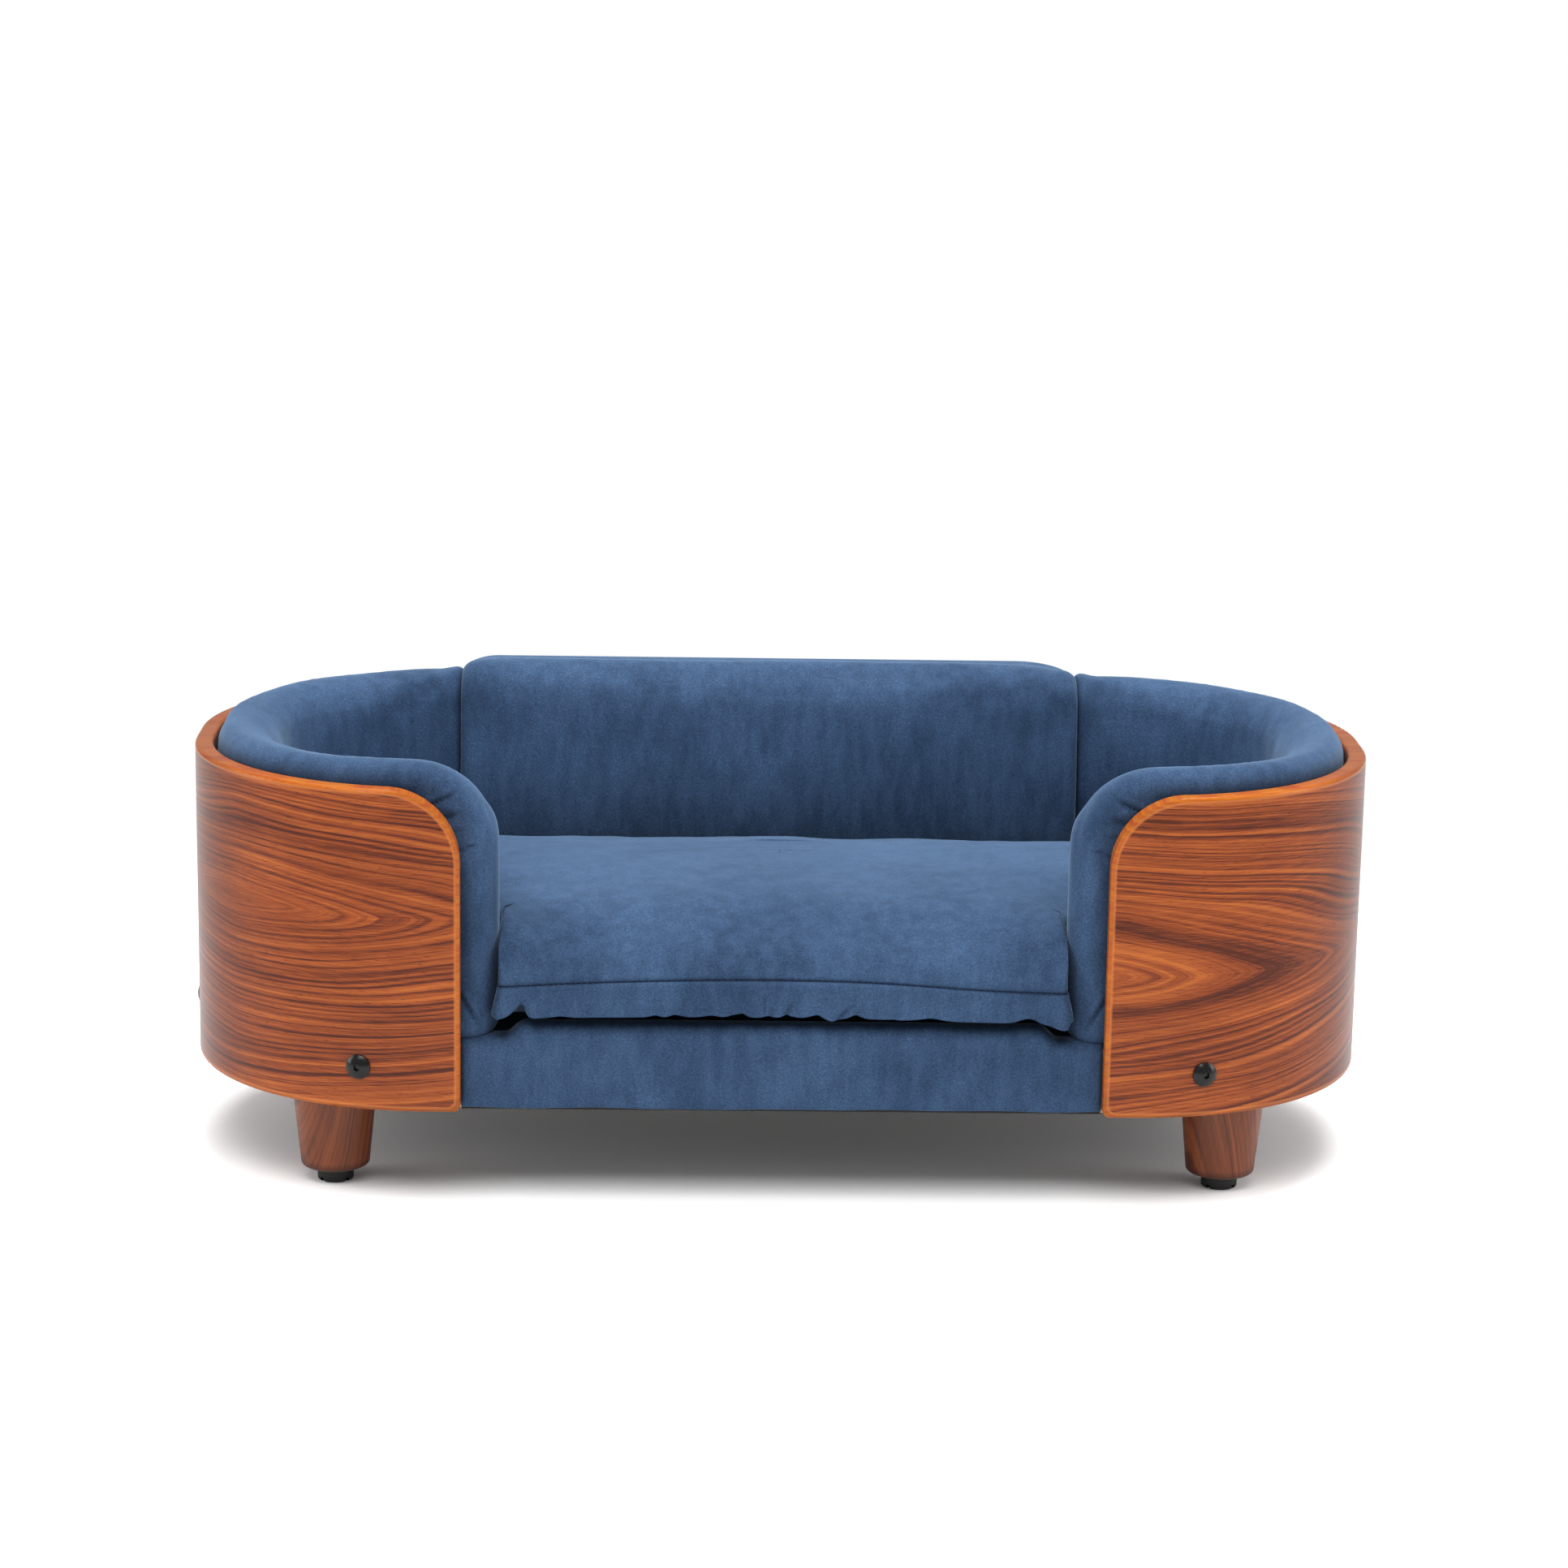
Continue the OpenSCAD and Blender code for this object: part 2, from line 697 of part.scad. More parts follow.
function back_ring(s) = let (
    depth = 1 - back_end_r * (1 - round_share(s[1], back_end_r)) / back_low_t,
    drop = back_corner_r * (1 - round_share(s[1], back_corner_r)),
    crown_share = round_share(s[1], back_x) * round_share(s[1], back_x))
    [for (p = back_section) let (
        is_front = p[0] < back_rear_y - back_low_t / 2,
        crown = is_front ? back_crown * crown_share * sin(180 * p[1] / back_pad_h) : 0,
        above = max(0, p[1] - back_cap_h) / (back_pad_h - back_cap_h),
        y = p[0] < back_rear_y ? back_rear_y - (back_rear_y - p[0] + crown) * depth : p[0])
        [s[0], y, back_low + p[1] - drop * (p[1] > back_cap_h ? above * above_share : 0)
            - drop_front(p, drop)]];

// The cap over the board only loses what it has above the board
above_share = 0.55;
function drop_front(p, drop) = p[0] < back_rear_y - soft_gap && p[1] > back_pad_h / 2
    ? drop * (1 - above_share) * (2 * p[1] / back_pad_h - 1) : 0;

module back_pad() {
    color(blue_cloth) polyhedron(
        points = [for (s = back_stations) each back_ring(s)],
        faces = ring_faces(len(back_stations), len(back_section)),
        convexity = 6);
}

// Seat cushion: right half of its outline from the middle of the front edge to the rear edge
seat_front_shares = [0.12, 0.35, 0.58, 0.81];
seat_rear_shares = [0.9, 0.7, 0.5, 0.3, 0.1];
nose_hollow_steps = 4;
rear_arc_end = asin((seat_rear_y - arc_y) / seat_arc_r);
seat_rear_x = arc_x + seat_arc_r * cos(rear_arc_end);
seat_half = concat(
    [for (share = seat_front_shares) [seat_front_x * share, seat_front_y]],
    arc([seat_front_x - seat_corner_r, seat_front_y + seat_corner_r],
        seat_corner_r, -seat_corner_angle, 0, 4),
    [for (k = [0:nose_hollow_steps]) let (a = 180 - nose_join_angle * k / nose_hollow_steps)
        [nose_mid_x + (nose_l + seat_gap) * cos(a), nose_mid_y + (nose_half_t + seat_gap) * sin(a)]],
    arc([arc_x, -arc_y], seat_arc_r, -nose_join_angle, 0, 8),
    arc([arc_x, arc_y], seat_arc_r, 0, rear_arc_end - rear_join_angle, 6),
    [for (share = seat_rear_shares) [seat_rear_x * share, seat_rear_y]]);
seat_n = 2 * len(seat_half);
seat_outline = concat(seat_half,
    [for (i = [len(seat_half) - 1:-1:0]) [-seat_half[i][0], seat_half[i][1]]]);

// Outward normal at a point of the outline, from its two neighbours
function seat_normal(i) = let (
    a = seat_outline[(i + seat_n - 1) % seat_n],
    b = seat_outline[(i + 1) % seat_n],
    d = norm(b - a))
    [(b[1] - a[1]) / d, (a[0] - b[0]) / d];
seat_normals = [for (i = [0:seat_n - 1]) seat_normal(i)];
seat_middle = [0, seat_middle_y];

// The seam arches up at the middle of the front edge
function seam_level(i) = let (p = seat_outline[i])
    seam_h + (p[1] < 0 && abs(p[0]) < seat_front_x
        ? seam_arch * (1 - pow(p[0] / seat_front_x, 2)) * min(1, p[1] / seat_front_y) : 0);

// Side of the cushion as [inset, share of the seam's height]: the underside rises, then the border
side_shares = [[1, 0], [0.8, 0.12], [0.5, 0.24], [0.16, 0.34], [0, 0.44], [0, 0.9]];
// The top as shares of the way in from the edge to the inner ring
top_shares = [0.03, 0.08, 0.15, 0.24, 0.36, 0.54, 0.76, 1];

// How much of the front edge's tuck a point of the outline has
function tuck_share(i) = let (p = seat_outline[i])
    abs(p[0]) <= seat_front_x ? max(0, min(1, (seat_tuck_y - p[1]) / (seat_tuck_y - seat_front_y))) : 0;

function seat_side_ring(s) = [for (i = [0:seat_n - 1]) let (
    p = seat_outline[i] - seat_normals[i] * s[0] * seat_low_r + [0, hem_tuck * s[0] * tuck_share(i)])
    [p[0], p[1], seat_low + s[1] * seam_level(i)]];

function seat_seam_ring() = [for (i = [0:seat_n - 1]) let (
    p = seat_outline[i] - seat_normals[i] * seam_dip)
    [p[0], p[1], seat_low + seam_level(i)]];

function seat_top_point(i, share) = let (
    p = seat_outline[i],
    q = seat_middle + (p - seat_middle) * seat_inner_share,
    in = norm(q - p) * share,
    roll = round_share(in, roll_w),
    base = seam_level(i),
    z = base + (seat_h - base) * roll + seat_crown * share * (2 - share))
    [p[0] + (q[0] - p[0]) * share, p[1] + (q[1] - p[1]) * share, seat_low + z];

// Outline of the foam block and of the pocket that it fills
foam_middle = [0, (seat_front_y + seat_rear_y) / 2];
foam_outline = [for (p = seat_outline) foam_middle + (p - foam_middle) * foam_share];

function pocket_ring(z) = [for (p = foam_outline) [p[0], p[1], z]];

seat_points = concat(
    pocket_ring(seat_low + underside_t + foam_h),
    pocket_ring(seat_low),
    [for (s = side_shares) each seat_side_ring(s)],
    seat_seam_ring(),
    [for (share = top_shares) each [for (i = [0:seat_n - 1]) seat_top_point(i, share)]],
    [[seat_middle[0], seat_middle[1], seat_low + seat_h + seat_crown],
        [foam_middle[0], foam_middle[1], seat_low + underside_t + foam_h]]);
seat_rings = 2 + len(side_shares) + 1 + len(top_shares);
seat_top_i = seat_rings * seat_n;
seat_faces = concat(
    [for (i = [0:seat_n - 1]) [seat_top_i + 1, i, (i + 1) % seat_n]],
    [for (k = [0:seat_rings - 2], i = [0:seat_n - 1])
        each let (a = k * seat_n + i, b = k * seat_n + (i + 1) % seat_n)
            [[a, a + seat_n, b + seat_n], [a, b + seat_n, b]]],
    [for (i = [0:seat_n - 1]) [seat_top_i - seat_n + i, seat_top_i,
        seat_top_i - seat_n + (i + 1) % seat_n]]);

// The cushion's cover, open below where the foam goes in
module seat_cover() {
    color(blue_cloth) polyhedron(points = seat_points, faces = seat_faces, convexity = 6);
}

module seat_foam() {
    color(foam_white) translate([0, 0, seat_low + underside_t])
        linear_extrude(foam_h) polygon(foam_outline);
}

// Cloth panel that closes the cover from below
module seat_underside() {
    color(black_cloth) translate([0, 0, seat_low]) linear_extrude(underside_t) polygon(foam_outline);
}

// A turned leg: tapered, its lower edge rounded, bored for the hanger bolt and the foot
module leg() {
    h = leg_top - leg_lift;
    color(dark_walnut) translate([0, 0, leg_lift]) difference() {
        rotate_extrude() polygon(concat(
            [[0, 0]],
            arc([leg_low_d / 2 - leg_edge_r, leg_edge_r], leg_edge_r, -90, 0, 7),
            [[leg_top_d / 2, h], [0, h]]));
        translate([0, 0, h - leg_socket_l]) cylinder(h = leg_socket_l + overrun, d = hanger_d);
        translate([0, 0, -overrun]) cylinder(h = insert_l + overrun, d = insert_d);
        translate([0, 0, -overrun])
            cylinder(h = stem_bore_l - leg_lift + overrun, d = stem_d + 2 * stem_clear);
    }
}

module leg_front_left() {
    translate([-leg_x, -leg_y, 0]) leg();
}

module leg_front_right() {
    translate([leg_x, -leg_y, 0]) leg();
}

module leg_rear_left() {
    translate([-leg_x, leg_y, 0]) leg();
}

module leg_rear_right() {
    translate([leg_x, leg_y, 0]) leg();
}

// A levelling foot: a round pad with spanner notches on a threaded stem
module foot() {
    color(black_steel) {
        difference() {
            rotate_extrude() polygon(concat(
                [[0, 0]],
                arc([foot_d / 2 - foot_edge_r, foot_edge_r], foot_edge_r, -90, 0, 5),
                [[foot_d / 2, foot_top], [0, foot_top]]));
            for (a = [45:90:315]) rotate([0, 0, a])
                translate([foot_d / 2 - notch_depth, -notch_w / 2, -overrun])
                    cube([notch_depth + overrun, notch_w, notch_h + overrun]);
        }
        translate([0, 0, foot_top / 2]) cylinder(h = stem_l - foot_top / 2, d = stem_d);
    }
}

module foot_front_left() {
    translate([-leg_x, -leg_y, 0]) foot();
}

module foot_front_right() {
    translate([leg_x, -leg_y, 0]) foot();
}

module foot_rear_left() {
    translate([-leg_x, leg_y, 0]) foot();
}

module foot_rear_right() {
    translate([leg_x, leg_y, 0]) foot();
}

// Flanged threaded inserts in the legs' lower ends
module foot_inserts() {
    color(zinc)
        for (sx = [-1, 1], sy = [-1, 1]) translate([sx * leg_x, sy * leg_y, leg_lift])
            difference() {
                union() {
                    translate([0, 0, -insert_flange_t])
                        cylinder(h = insert_flange_t, d = insert_flange_d);
                    cylinder(h = insert_l, d = insert_d);
                }
                translate([0, 0, -insert_flange_t - overrun])
                    cylinder(h = insert_l + insert_flange_t + 2 * overrun,
                        d = stem_d + 2 * thread_fit);
            }
}

module hanger_bolts() {
    color(zinc)
        for (sx = [-1, 1], sy = [-1, 1])
            translate([sx * leg_x, sy * leg_y, leg_top - leg_socket_l])
                cylinder(h = leg_socket_l + hanger_up, d = hanger_d);
}

// Tee nuts let into the ribs' tops for the hanger bolts
module leg_tee_nuts() {
    color(zinc)
        for (sx = [-1, 1], sy = [-1, 1]) translate([sx * leg_x, sy * leg_y, frame_top])
            difference() {
                union() {
                    translate([0, 0, -tee_flange_t]) cylinder(h = tee_flange_t, d = tee_flange_d);
                    translate([0, 0, -tee_flange_t - tee_barrel_l])
                        cylinder(h = tee_barrel_l + tee_flange_t, d = tee_barrel_d);
                }
                translate([0, 0, -tee_flange_t - tee_barrel_l - overrun])
                    cylinder(h = tee_barrel_l + tee_flange_t + 2 * overrun,
                        d = hanger_d + 2 * thread_fit);
            }
}

// A shell bolt: flanged dome head with a hexagon socket, shank through shell and insert
module shell_bolt() {
    r = bolt_head_d / 2;
    dome_r = (r * r + bolt_dome_h * bolt_dome_h) / (2 * bolt_dome_h);
    difference() {
        union() {
            cylinder(h = bolt_flange_t, r = r);
            intersection() {
                translate([0, 0, bolt_flange_t + bolt_dome_h - dome_r]) sphere(dome_r);
                translate([0, 0, bolt_flange_t]) cylinder(h = bolt_dome_h, r = r);
            }
            translate([0, 0, -bolt_l]) cylinder(h = bolt_l + bolt_flange_t, d = bolt_d);
        }
        translate([0, 0, bolt_flange_t + bolt_dome_h - socket_depth])
            cylinder(h = socket_depth + overrun, d = socket_w / cos(30), $fn = 6);
    }
}

module shell_bolts() {
    color(black_steel)
        for (a = [-bolt_angle, 0, bolt_angle]) on_wall(a, 0, bolt_z) shell_bolt();
}

module shell_bolts_right() {
    shell_bolts();
}

module shell_bolts_left() {
    mirror([1, 0, 0]) shell_bolts();
}

// Threaded inserts in the ribs for the shell bolts
module shell_inserts() {
    color(zinc)
        for (a = [-bolt_angle, 0, bolt_angle]) on_wall(a, frame_inset + shell_insert_l, bolt_z)
            difference() {
                cylinder(h = shell_insert_l - insert_recess, d = shell_insert_d);
                translate([0, 0, -overrun])
                    cylinder(h = shell_insert_l + 2 * overrun, d = bolt_d + 2 * thread_fit);
            }
}

module shell_inserts_right() {
    shell_inserts();
}

module shell_inserts_left() {
    mirror([1, 0, 0]) shell_inserts();
}

shell_left();
shell_right();
end_rib_left();
end_rib_right();
front_rail();
rear_rail();
cross_batten();
deck_board();
deck_cloth();
front_apron();
dust_cover();
back_board();
back_pad();
rear_cloth();
arm_pad_left();
arm_pad_right();
pad_liner_left();
pad_liner_right();
pad_studs_left();
pad_studs_right();
seat_cover();
seat_foam();
seat_underside();
leg_front_left();
leg_front_right();
leg_rear_left();
leg_rear_right();
foot_front_left();
foot_front_right();
foot_rear_left();
foot_rear_right();
foot_inserts();
hanger_bolts();
leg_tee_nuts();
shell_bolts_left();
shell_bolts_right();
shell_inserts_left();
shell_inserts_right();
deck_screws();
back_screws();
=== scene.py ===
"""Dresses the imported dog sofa: cloth pads and cushion, veneer, legs, fixings and a plain studio.

Everything is in metres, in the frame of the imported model: the origin is on the floor under the
middle of the sofa, +X to the right seen from the front, +Y to the back and +Z up.
"""
import logging
import math
from dataclasses import dataclass, field
from enum import Enum
from typing import Callable, Sequence

import bpy
import numpy as np
from mathutils import Matrix, Vector
from mathutils.kdtree import KDTree


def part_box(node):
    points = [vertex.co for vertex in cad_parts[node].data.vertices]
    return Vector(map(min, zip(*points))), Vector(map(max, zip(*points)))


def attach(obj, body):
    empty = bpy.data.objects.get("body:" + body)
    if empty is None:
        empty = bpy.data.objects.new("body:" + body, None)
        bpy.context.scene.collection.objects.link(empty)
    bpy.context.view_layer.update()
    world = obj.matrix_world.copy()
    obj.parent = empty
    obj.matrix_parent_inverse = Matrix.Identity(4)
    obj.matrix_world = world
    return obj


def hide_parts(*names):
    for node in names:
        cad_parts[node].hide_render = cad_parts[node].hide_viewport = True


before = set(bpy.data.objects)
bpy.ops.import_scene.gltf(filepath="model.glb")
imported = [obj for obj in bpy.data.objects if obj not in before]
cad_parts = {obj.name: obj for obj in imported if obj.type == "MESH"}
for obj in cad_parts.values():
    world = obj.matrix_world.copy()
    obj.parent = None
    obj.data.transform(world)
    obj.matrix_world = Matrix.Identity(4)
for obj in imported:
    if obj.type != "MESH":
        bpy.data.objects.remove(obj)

MM = 0.001
SOFA = "sofa"
CUSHION = "seat_cushion"
log = logging.getLogger("sofa")


class Side(Enum):
    """The two ends of the sofa, seen from the front."""

    LEFT = -1
    RIGHT = 1

    @property
    def word(self) -> str:
        """The side's name, as the nodes use it."""
        return self.name.lower()


class Graph:
    """Adds nodes to a tree and links them, one call for each node."""

    def __init__(self, tree: bpy.types.NodeTree) -> None:
        """Takes the tree that the nodes go into.

        Args:
            tree: A shader or geometry node tree.
        """
        self.tree = tree

    def add(self, kind: str, inputs: dict | None = None, **settings: object) -> bpy.types.Node:
        """Adds a node.

        Args:
            kind: The node's type.
            inputs: Its inputs by name or number, each a socket or a plain value.
            settings: The node's own properties.

        Returns:
            The new node.
        """
        node = self.tree.nodes.new(kind)
        for name, value in settings.items():
            setattr(node, name, value)
        for name, value in (inputs or {}).items():
            self.put(node.inputs[name], value)
        return node

    def put(self, socket: bpy.types.NodeSocket, value: object) -> None:
        """Links a socket to another, or sets its value."""
        if isinstance(value, bpy.types.NodeSocket):
            self.tree.links.new(value, socket)
        else:
            socket.default_value = value

    def math(self, operation: str, a: object, b: object = 0.0, c: object = 0.0) -> bpy.types.NodeSocket:
        """A Math node's result."""
        return self.add("ShaderNodeMath", {0: a, 1: b, 2: c}, operation=operation).outputs[0]

    def times(self, a: object, b: object) -> bpy.types.NodeSocket:
        """Two values multiplied."""
        return self.math("MULTIPLY", a, b)

    def less(self, a: object, b: object) -> bpy.types.NodeSocket:
        """One value less another."""
        return self.math("SUBTRACT", a, b)

    def span(self, value: object, low: float, high: float, to_low: float = 0.0,
             to_high: float = 1.0) -> bpy.types.NodeSocket:
        """A value moved smoothly from one range to another, and held at its ends."""
        inputs = {"Value": value, "From Min": low, "From Max": high, "To Min": to_low, "To Max": to_high}
        node = self.add("ShaderNodeMapRange", inputs, interpolation_type="SMOOTHSTEP")
        return node.outputs["Result"]

    def split(self, vector: object) -> tuple:
        """The three parts of a vector."""
        return tuple(self.add("ShaderNodeSeparateXYZ", {0: vector}).outputs)

    def join(self, x: object, y: object, z: object) -> bpy.types.NodeSocket:
        """A vector of three parts."""
        return self.add("ShaderNodeCombineXYZ", {0: x, 1: y, 2: z}).outputs[0]

    def stretched(self, along: object, along_scale: float, across: object, across_scale: float,
                  third: object) -> bpy.types.NodeSocket:
        """A place whose first two parts are scaled, each by its own number."""
        return self.join(self.times(along, along_scale), self.times(across, across_scale), third)

    def noise(self, vector: object, scale: float, detail: float = 2.0,
              rough: float = 0.5) -> bpy.types.NodeSocket:
        """Three-dimensional noise from 0 to 1."""
        inputs = {"Vector": vector, "Scale": scale, "Detail": detail, "Roughness": rough}
        return self.add("ShaderNodeTexNoise", inputs).outputs[0]

    def noise_line(self, w: object, scale: float, detail: float = 2.0,
                   rough: float = 0.5) -> bpy.types.NodeSocket:
        """Noise from 0 to 1 along one number."""
        inputs = {"W": w, "Scale": scale, "Detail": detail, "Roughness": rough}
        return self.add("ShaderNodeTexNoise", inputs, noise_dimensions="1D").outputs[0]

    def mix(self, factor: object, a: object, b: object, blend: str = "MIX") -> bpy.types.NodeSocket:
        """Two colours mixed."""
        node = self.add("ShaderNodeMix", data_type="RGBA", blend_type=blend)
        for number, value in ((0, factor), (6, a), (7, b)):
            self.put(node.inputs[number], value)
        return node.outputs[2]

    def ramp(self, factor: object, stops: Sequence[tuple]) -> bpy.types.NodeSocket:
        """A colour ramp.

        Args:
            factor: Where on the ramp, from 0 to 1.
            stops: Pairs of a position and a colour of three numbers.

        Returns:
            The colour socket.
        """
        node = self.add("ShaderNodeValToRGB", {0: factor})
        points = node.color_ramp.elements
        while len(points) < len(stops):
            points.new(0.5)
        for point, (position, colour) in zip(points, stops):
            point.position = position
            point.color = (*colour, 1)
        return node.outputs[0]


class GroupBuilder(Graph):
    """A node group with named inputs and outputs."""

    def __init__(self, name: str, kind: str, inputs: dict, outputs: dict) -> None:
        """Makes the group's sockets.

        Args:
            name: The group's name.
            kind: ShaderNodeTree or GeometryNodeTree.
            inputs: Names and default values; a type's name stands for a socket with no value.
            outputs: Names and socket types.
        """
        super().__init__(bpy.data.node_groups.new(name, kind))
        self.sockets: dict[str, str] = {}
        for label, value in inputs.items():
            socket = self.tree.interface.new_socket(label, in_out="INPUT", socket_type=self.kind_of(value))
            if not isinstance(value, str):
                socket.default_value = value
            self.sockets[label] = socket.identifier
        for label, socket_type in outputs.items():
            self.tree.interface.new_socket(label, in_out="OUTPUT", socket_type=socket_type)
        self.given = self.add("NodeGroupInput").outputs
        self.result = self.add("NodeGroupOutput").inputs

    @staticmethod
    def kind_of(value: object) -> str:
        """The socket type that holds a default value.

        Args:
            value: The value.

        Returns:
            The type's name.
        """
        if isinstance(value, str):
            return value
        if isinstance(value, int):
            return "NodeSocketInt"
        return "NodeSocketFloat" if isinstance(value, float) else "NodeSocketVector"


def smooth_share(distance: np.ndarray, radius: float) -> np.ndarray:
    """Share of a quarter circle: 0 at the edge and 1 from the radius inwards."""
    return np.sqrt(1 - (1 - np.clip(distance / radius, 0, 1)) ** 2)


def smooth_max(values: np.ndarray, floor: float, width: float) -> np.ndarray:
    """The greater of values and a floor, rounded off over a width."""
    return floor + 0.5 * (values - floor + np.sqrt((values - floor) ** 2 + width ** 2))


def bell(value: np.ndarray, middle: float, width: float) -> np.ndarray:
    """A soft hump of height 1 round a middle."""
    return np.exp(-(((value - middle) / width) ** 2))


def step(value: np.ndarray, low: float, high: float) -> np.ndarray:
    """A smooth step from 0 at low to 1 at high."""
    share = np.clip((value - low) / (high - low), 0, 1)
    return share * share * (3 - 2 * share)


def step_from(value: np.ndarray, base: float, reach: tuple[float, float]) -> np.ndarray:
    """A smooth step from 0 to 1 between two distances from a base."""
    return step(value, base + reach[0], base + reach[1])


def ripple(points: np.ndarray, wavelength: float, seed: int,
           stretch: Sequence[float] = (1, 1, 1)) -> np.ndarray:
    """Smooth waves in random directions.

    Args:
        points: Places, one a row.
        wavelength: Distance between crests, about.
        seed: Picks the waves.
        stretch: How much each direction counts; a small number draws the waves out that way.

    Returns:
        A value from about -1 to 1 for each place.
    """
    waves, gain = 8, 1.6
    shortest, longest = 0.7, 1.4
    chance = np.random.default_rng(seed)
    total = np.zeros(len(points))
    for _ in range(waves):
        direction = chance.normal(size=3)
        direction = direction / np.linalg.norm(direction) * np.array(stretch)
        scale = 2 * math.pi / (wavelength * chance.uniform(shortest, longest))
        total += np.sin(points @ direction * scale + chance.uniform(0, 2 * math.pi))
    return total / waves * gain


@dataclass(frozen=True)
class Unevenness:
    """Soft waves in a cloth, their height and wavelength in millimetres."""

    height: float
    wavelength: float
    seed: int
    stretch: tuple[float, float, float] = (1, 1, 1)

    def over(self, points: np.ndarray, shift: int = 0) -> np.ndarray:
        """How far the cloth stands out at each place; a shift picks other waves of the same size."""
        return self.height * MM * ripple(points, self.wavelength * MM, self.seed + shift, self.stretch)


def unit(angle: float) -> np.ndarray:
    """The direction of an angle in degrees."""
    return np.array((math.cos(math.radians(angle)), math.sin(math.radians(angle))))


def arc_points(centre: tuple, radius: float, start: float, end: float, count: int) -> list:
    """Points of an arc in a plane, both ends included, its angles in degrees."""
    angles = np.radians(np.linspace(start, end, count))
    return [(centre[0] + radius * math.cos(a), centre[1] + radius * math.sin(a)) for a in angles]


def line_points(start: tuple, end: tuple, gap: float) -> list:
    """Points between two others, neither included, about one gap apart."""
    steps = max(1, round(math.dist(start, end) / gap))
    return [tuple(np.array(start) + (np.array(end) - np.array(start)) * k / steps) for k in range(1, steps)]


def resample(points: np.ndarray, count: int) -> np.ndarray:
    """The same open line with evenly spaced points."""
    gaps = np.linalg.norm(np.diff(points, axis=0), axis=1)
    along = np.concatenate([[0], np.cumsum(gaps)])
    want = np.linspace(0, along[-1], count)
    return np.stack([np.interp(want, along, points[:, k]) for k in range(points.shape[1])], axis=1)


def coordinates(mesh: bpy.types.Mesh) -> np.ndarray:
    """The places of a mesh's points, one a row."""
    flat = np.zeros(len(mesh.vertices) * 3)
    mesh.vertices.foreach_get("co", flat)
    return flat.reshape(-1, 3)


def normals_of(mesh: bpy.types.Mesh) -> np.ndarray:
    """The outward directions at a mesh's points, one a row."""
    flat = np.zeros(len(mesh.vertices) * 3)
    mesh.vertex_normals.foreach_get("vector", flat)
    return flat.reshape(-1, 3)


def set_coordinates(mesh: bpy.types.Mesh, points: np.ndarray) -> None:
    """Moves a mesh's points."""
    mesh.vertices.foreach_set("co", points.ravel())
    mesh.update()


def linked(name: str, data: bpy.types.ID) -> bpy.types.Object:
    """A new object that holds its data at the origin, linked into the scene."""
    made = bpy.data.objects.new(name, data)
    bpy.context.scene.collection.objects.link(made)
    return made


def closed_path(name: str, points: np.ndarray) -> bpy.types.Object:
    """A closed line of loose edges."""
    mesh = bpy.data.meshes.new(name)
    count = len(points)
    mesh.from_pydata([tuple(p) for p in points], [(i, (i + 1) % count) for i in range(count)], [])
    return linked(name, mesh)


def grid_faces(rows: int, across: int, closed: bool = True, turned: bool = False) -> list[tuple]:
    """Faces between rows of points.

    Args:
        rows: How many rows there are.
        across: Points in a row.
        closed: True where a row's last point joins its first.
        turned: True for faces that look the other way.

    Returns:
        Point numbers of each face.
    """
    faces = []
    for k in range(rows - 1):
        here, there = k * across, (k + 1) * across
        for i in range(across if closed else across - 1):
            j = (i + 1) % across
            if turned:
                faces.append((here + i, there + i, there + j, here + j))
            else:
                faces.append((here + i, here + j, there + j, there + i))
    return faces


def new_object(name: str, points: np.ndarray, faces: Sequence) -> bpy.types.Object:
    """Makes a smooth closed mesh whose faces point outwards.

    Args:
        name: The object's name.
        points: Places, one a row.
        faces: Point numbers of each face, all turning the same way.

    Returns:
        The object, linked into the scene.
    """
    mesh = bpy.data.meshes.new(name)
    mesh.from_pydata([tuple(p) for p in points], [], [tuple(int(i) for i in f) for f in faces])
    corners = np.array([(f[0], f[k], f[k + 1]) for f in faces for k in range(1, len(f) - 1)])
    a, b, c = (points[corners[:, k]] for k in range(3))
    if (a * np.cross(b, c)).sum() < 0:
        mesh.flip_normals()
    mesh.shade_smooth()
    return linked(name, mesh)


def loft(name: str, rings: np.ndarray) -> bpy.types.Object:
    """Skins closed rings and closes both ends with strips between each end ring's two halves.

    Args:
        name: The object's name.
        rings: Rings by points by three; a ring's first point is at the bottom of its outline.

    Returns:
        The closed object.
    """
    count, around, _ = rings.shape
    faces = grid_faces(count, around)
    half = around // 2
    for base, turn in ((0, 1), ((count - 1) * around, -1)):
        for i in range(half):
            far = (around - i - 1, (around - i) % around)
            face = [base + i, base + i + 1, base + far[0], base + far[1]]
            face = list(dict.fromkeys(face))
            if len(face) > 2:
                faces.append(face[::-turn])
    return new_object(name, rings.reshape(-1, 3), faces)


def at_level(flat: np.ndarray, z: float | np.ndarray) -> np.ndarray:
    """Flat places lifted to a height, or each to its own."""
    return np.column_stack([flat, np.broadcast_to(z, len(flat))])


def outward_of(ring: np.ndarray) -> np.ndarray:
    """Outward directions at the points of a flat ring that turns counter-clockwise."""
    run = np.roll(ring, -1, 0) - np.roll(ring, 1, 0)
    return np.stack([run[:, 1], -run[:, 0]], 1) / np.linalg.norm(run, axis=1, keepdims=True)


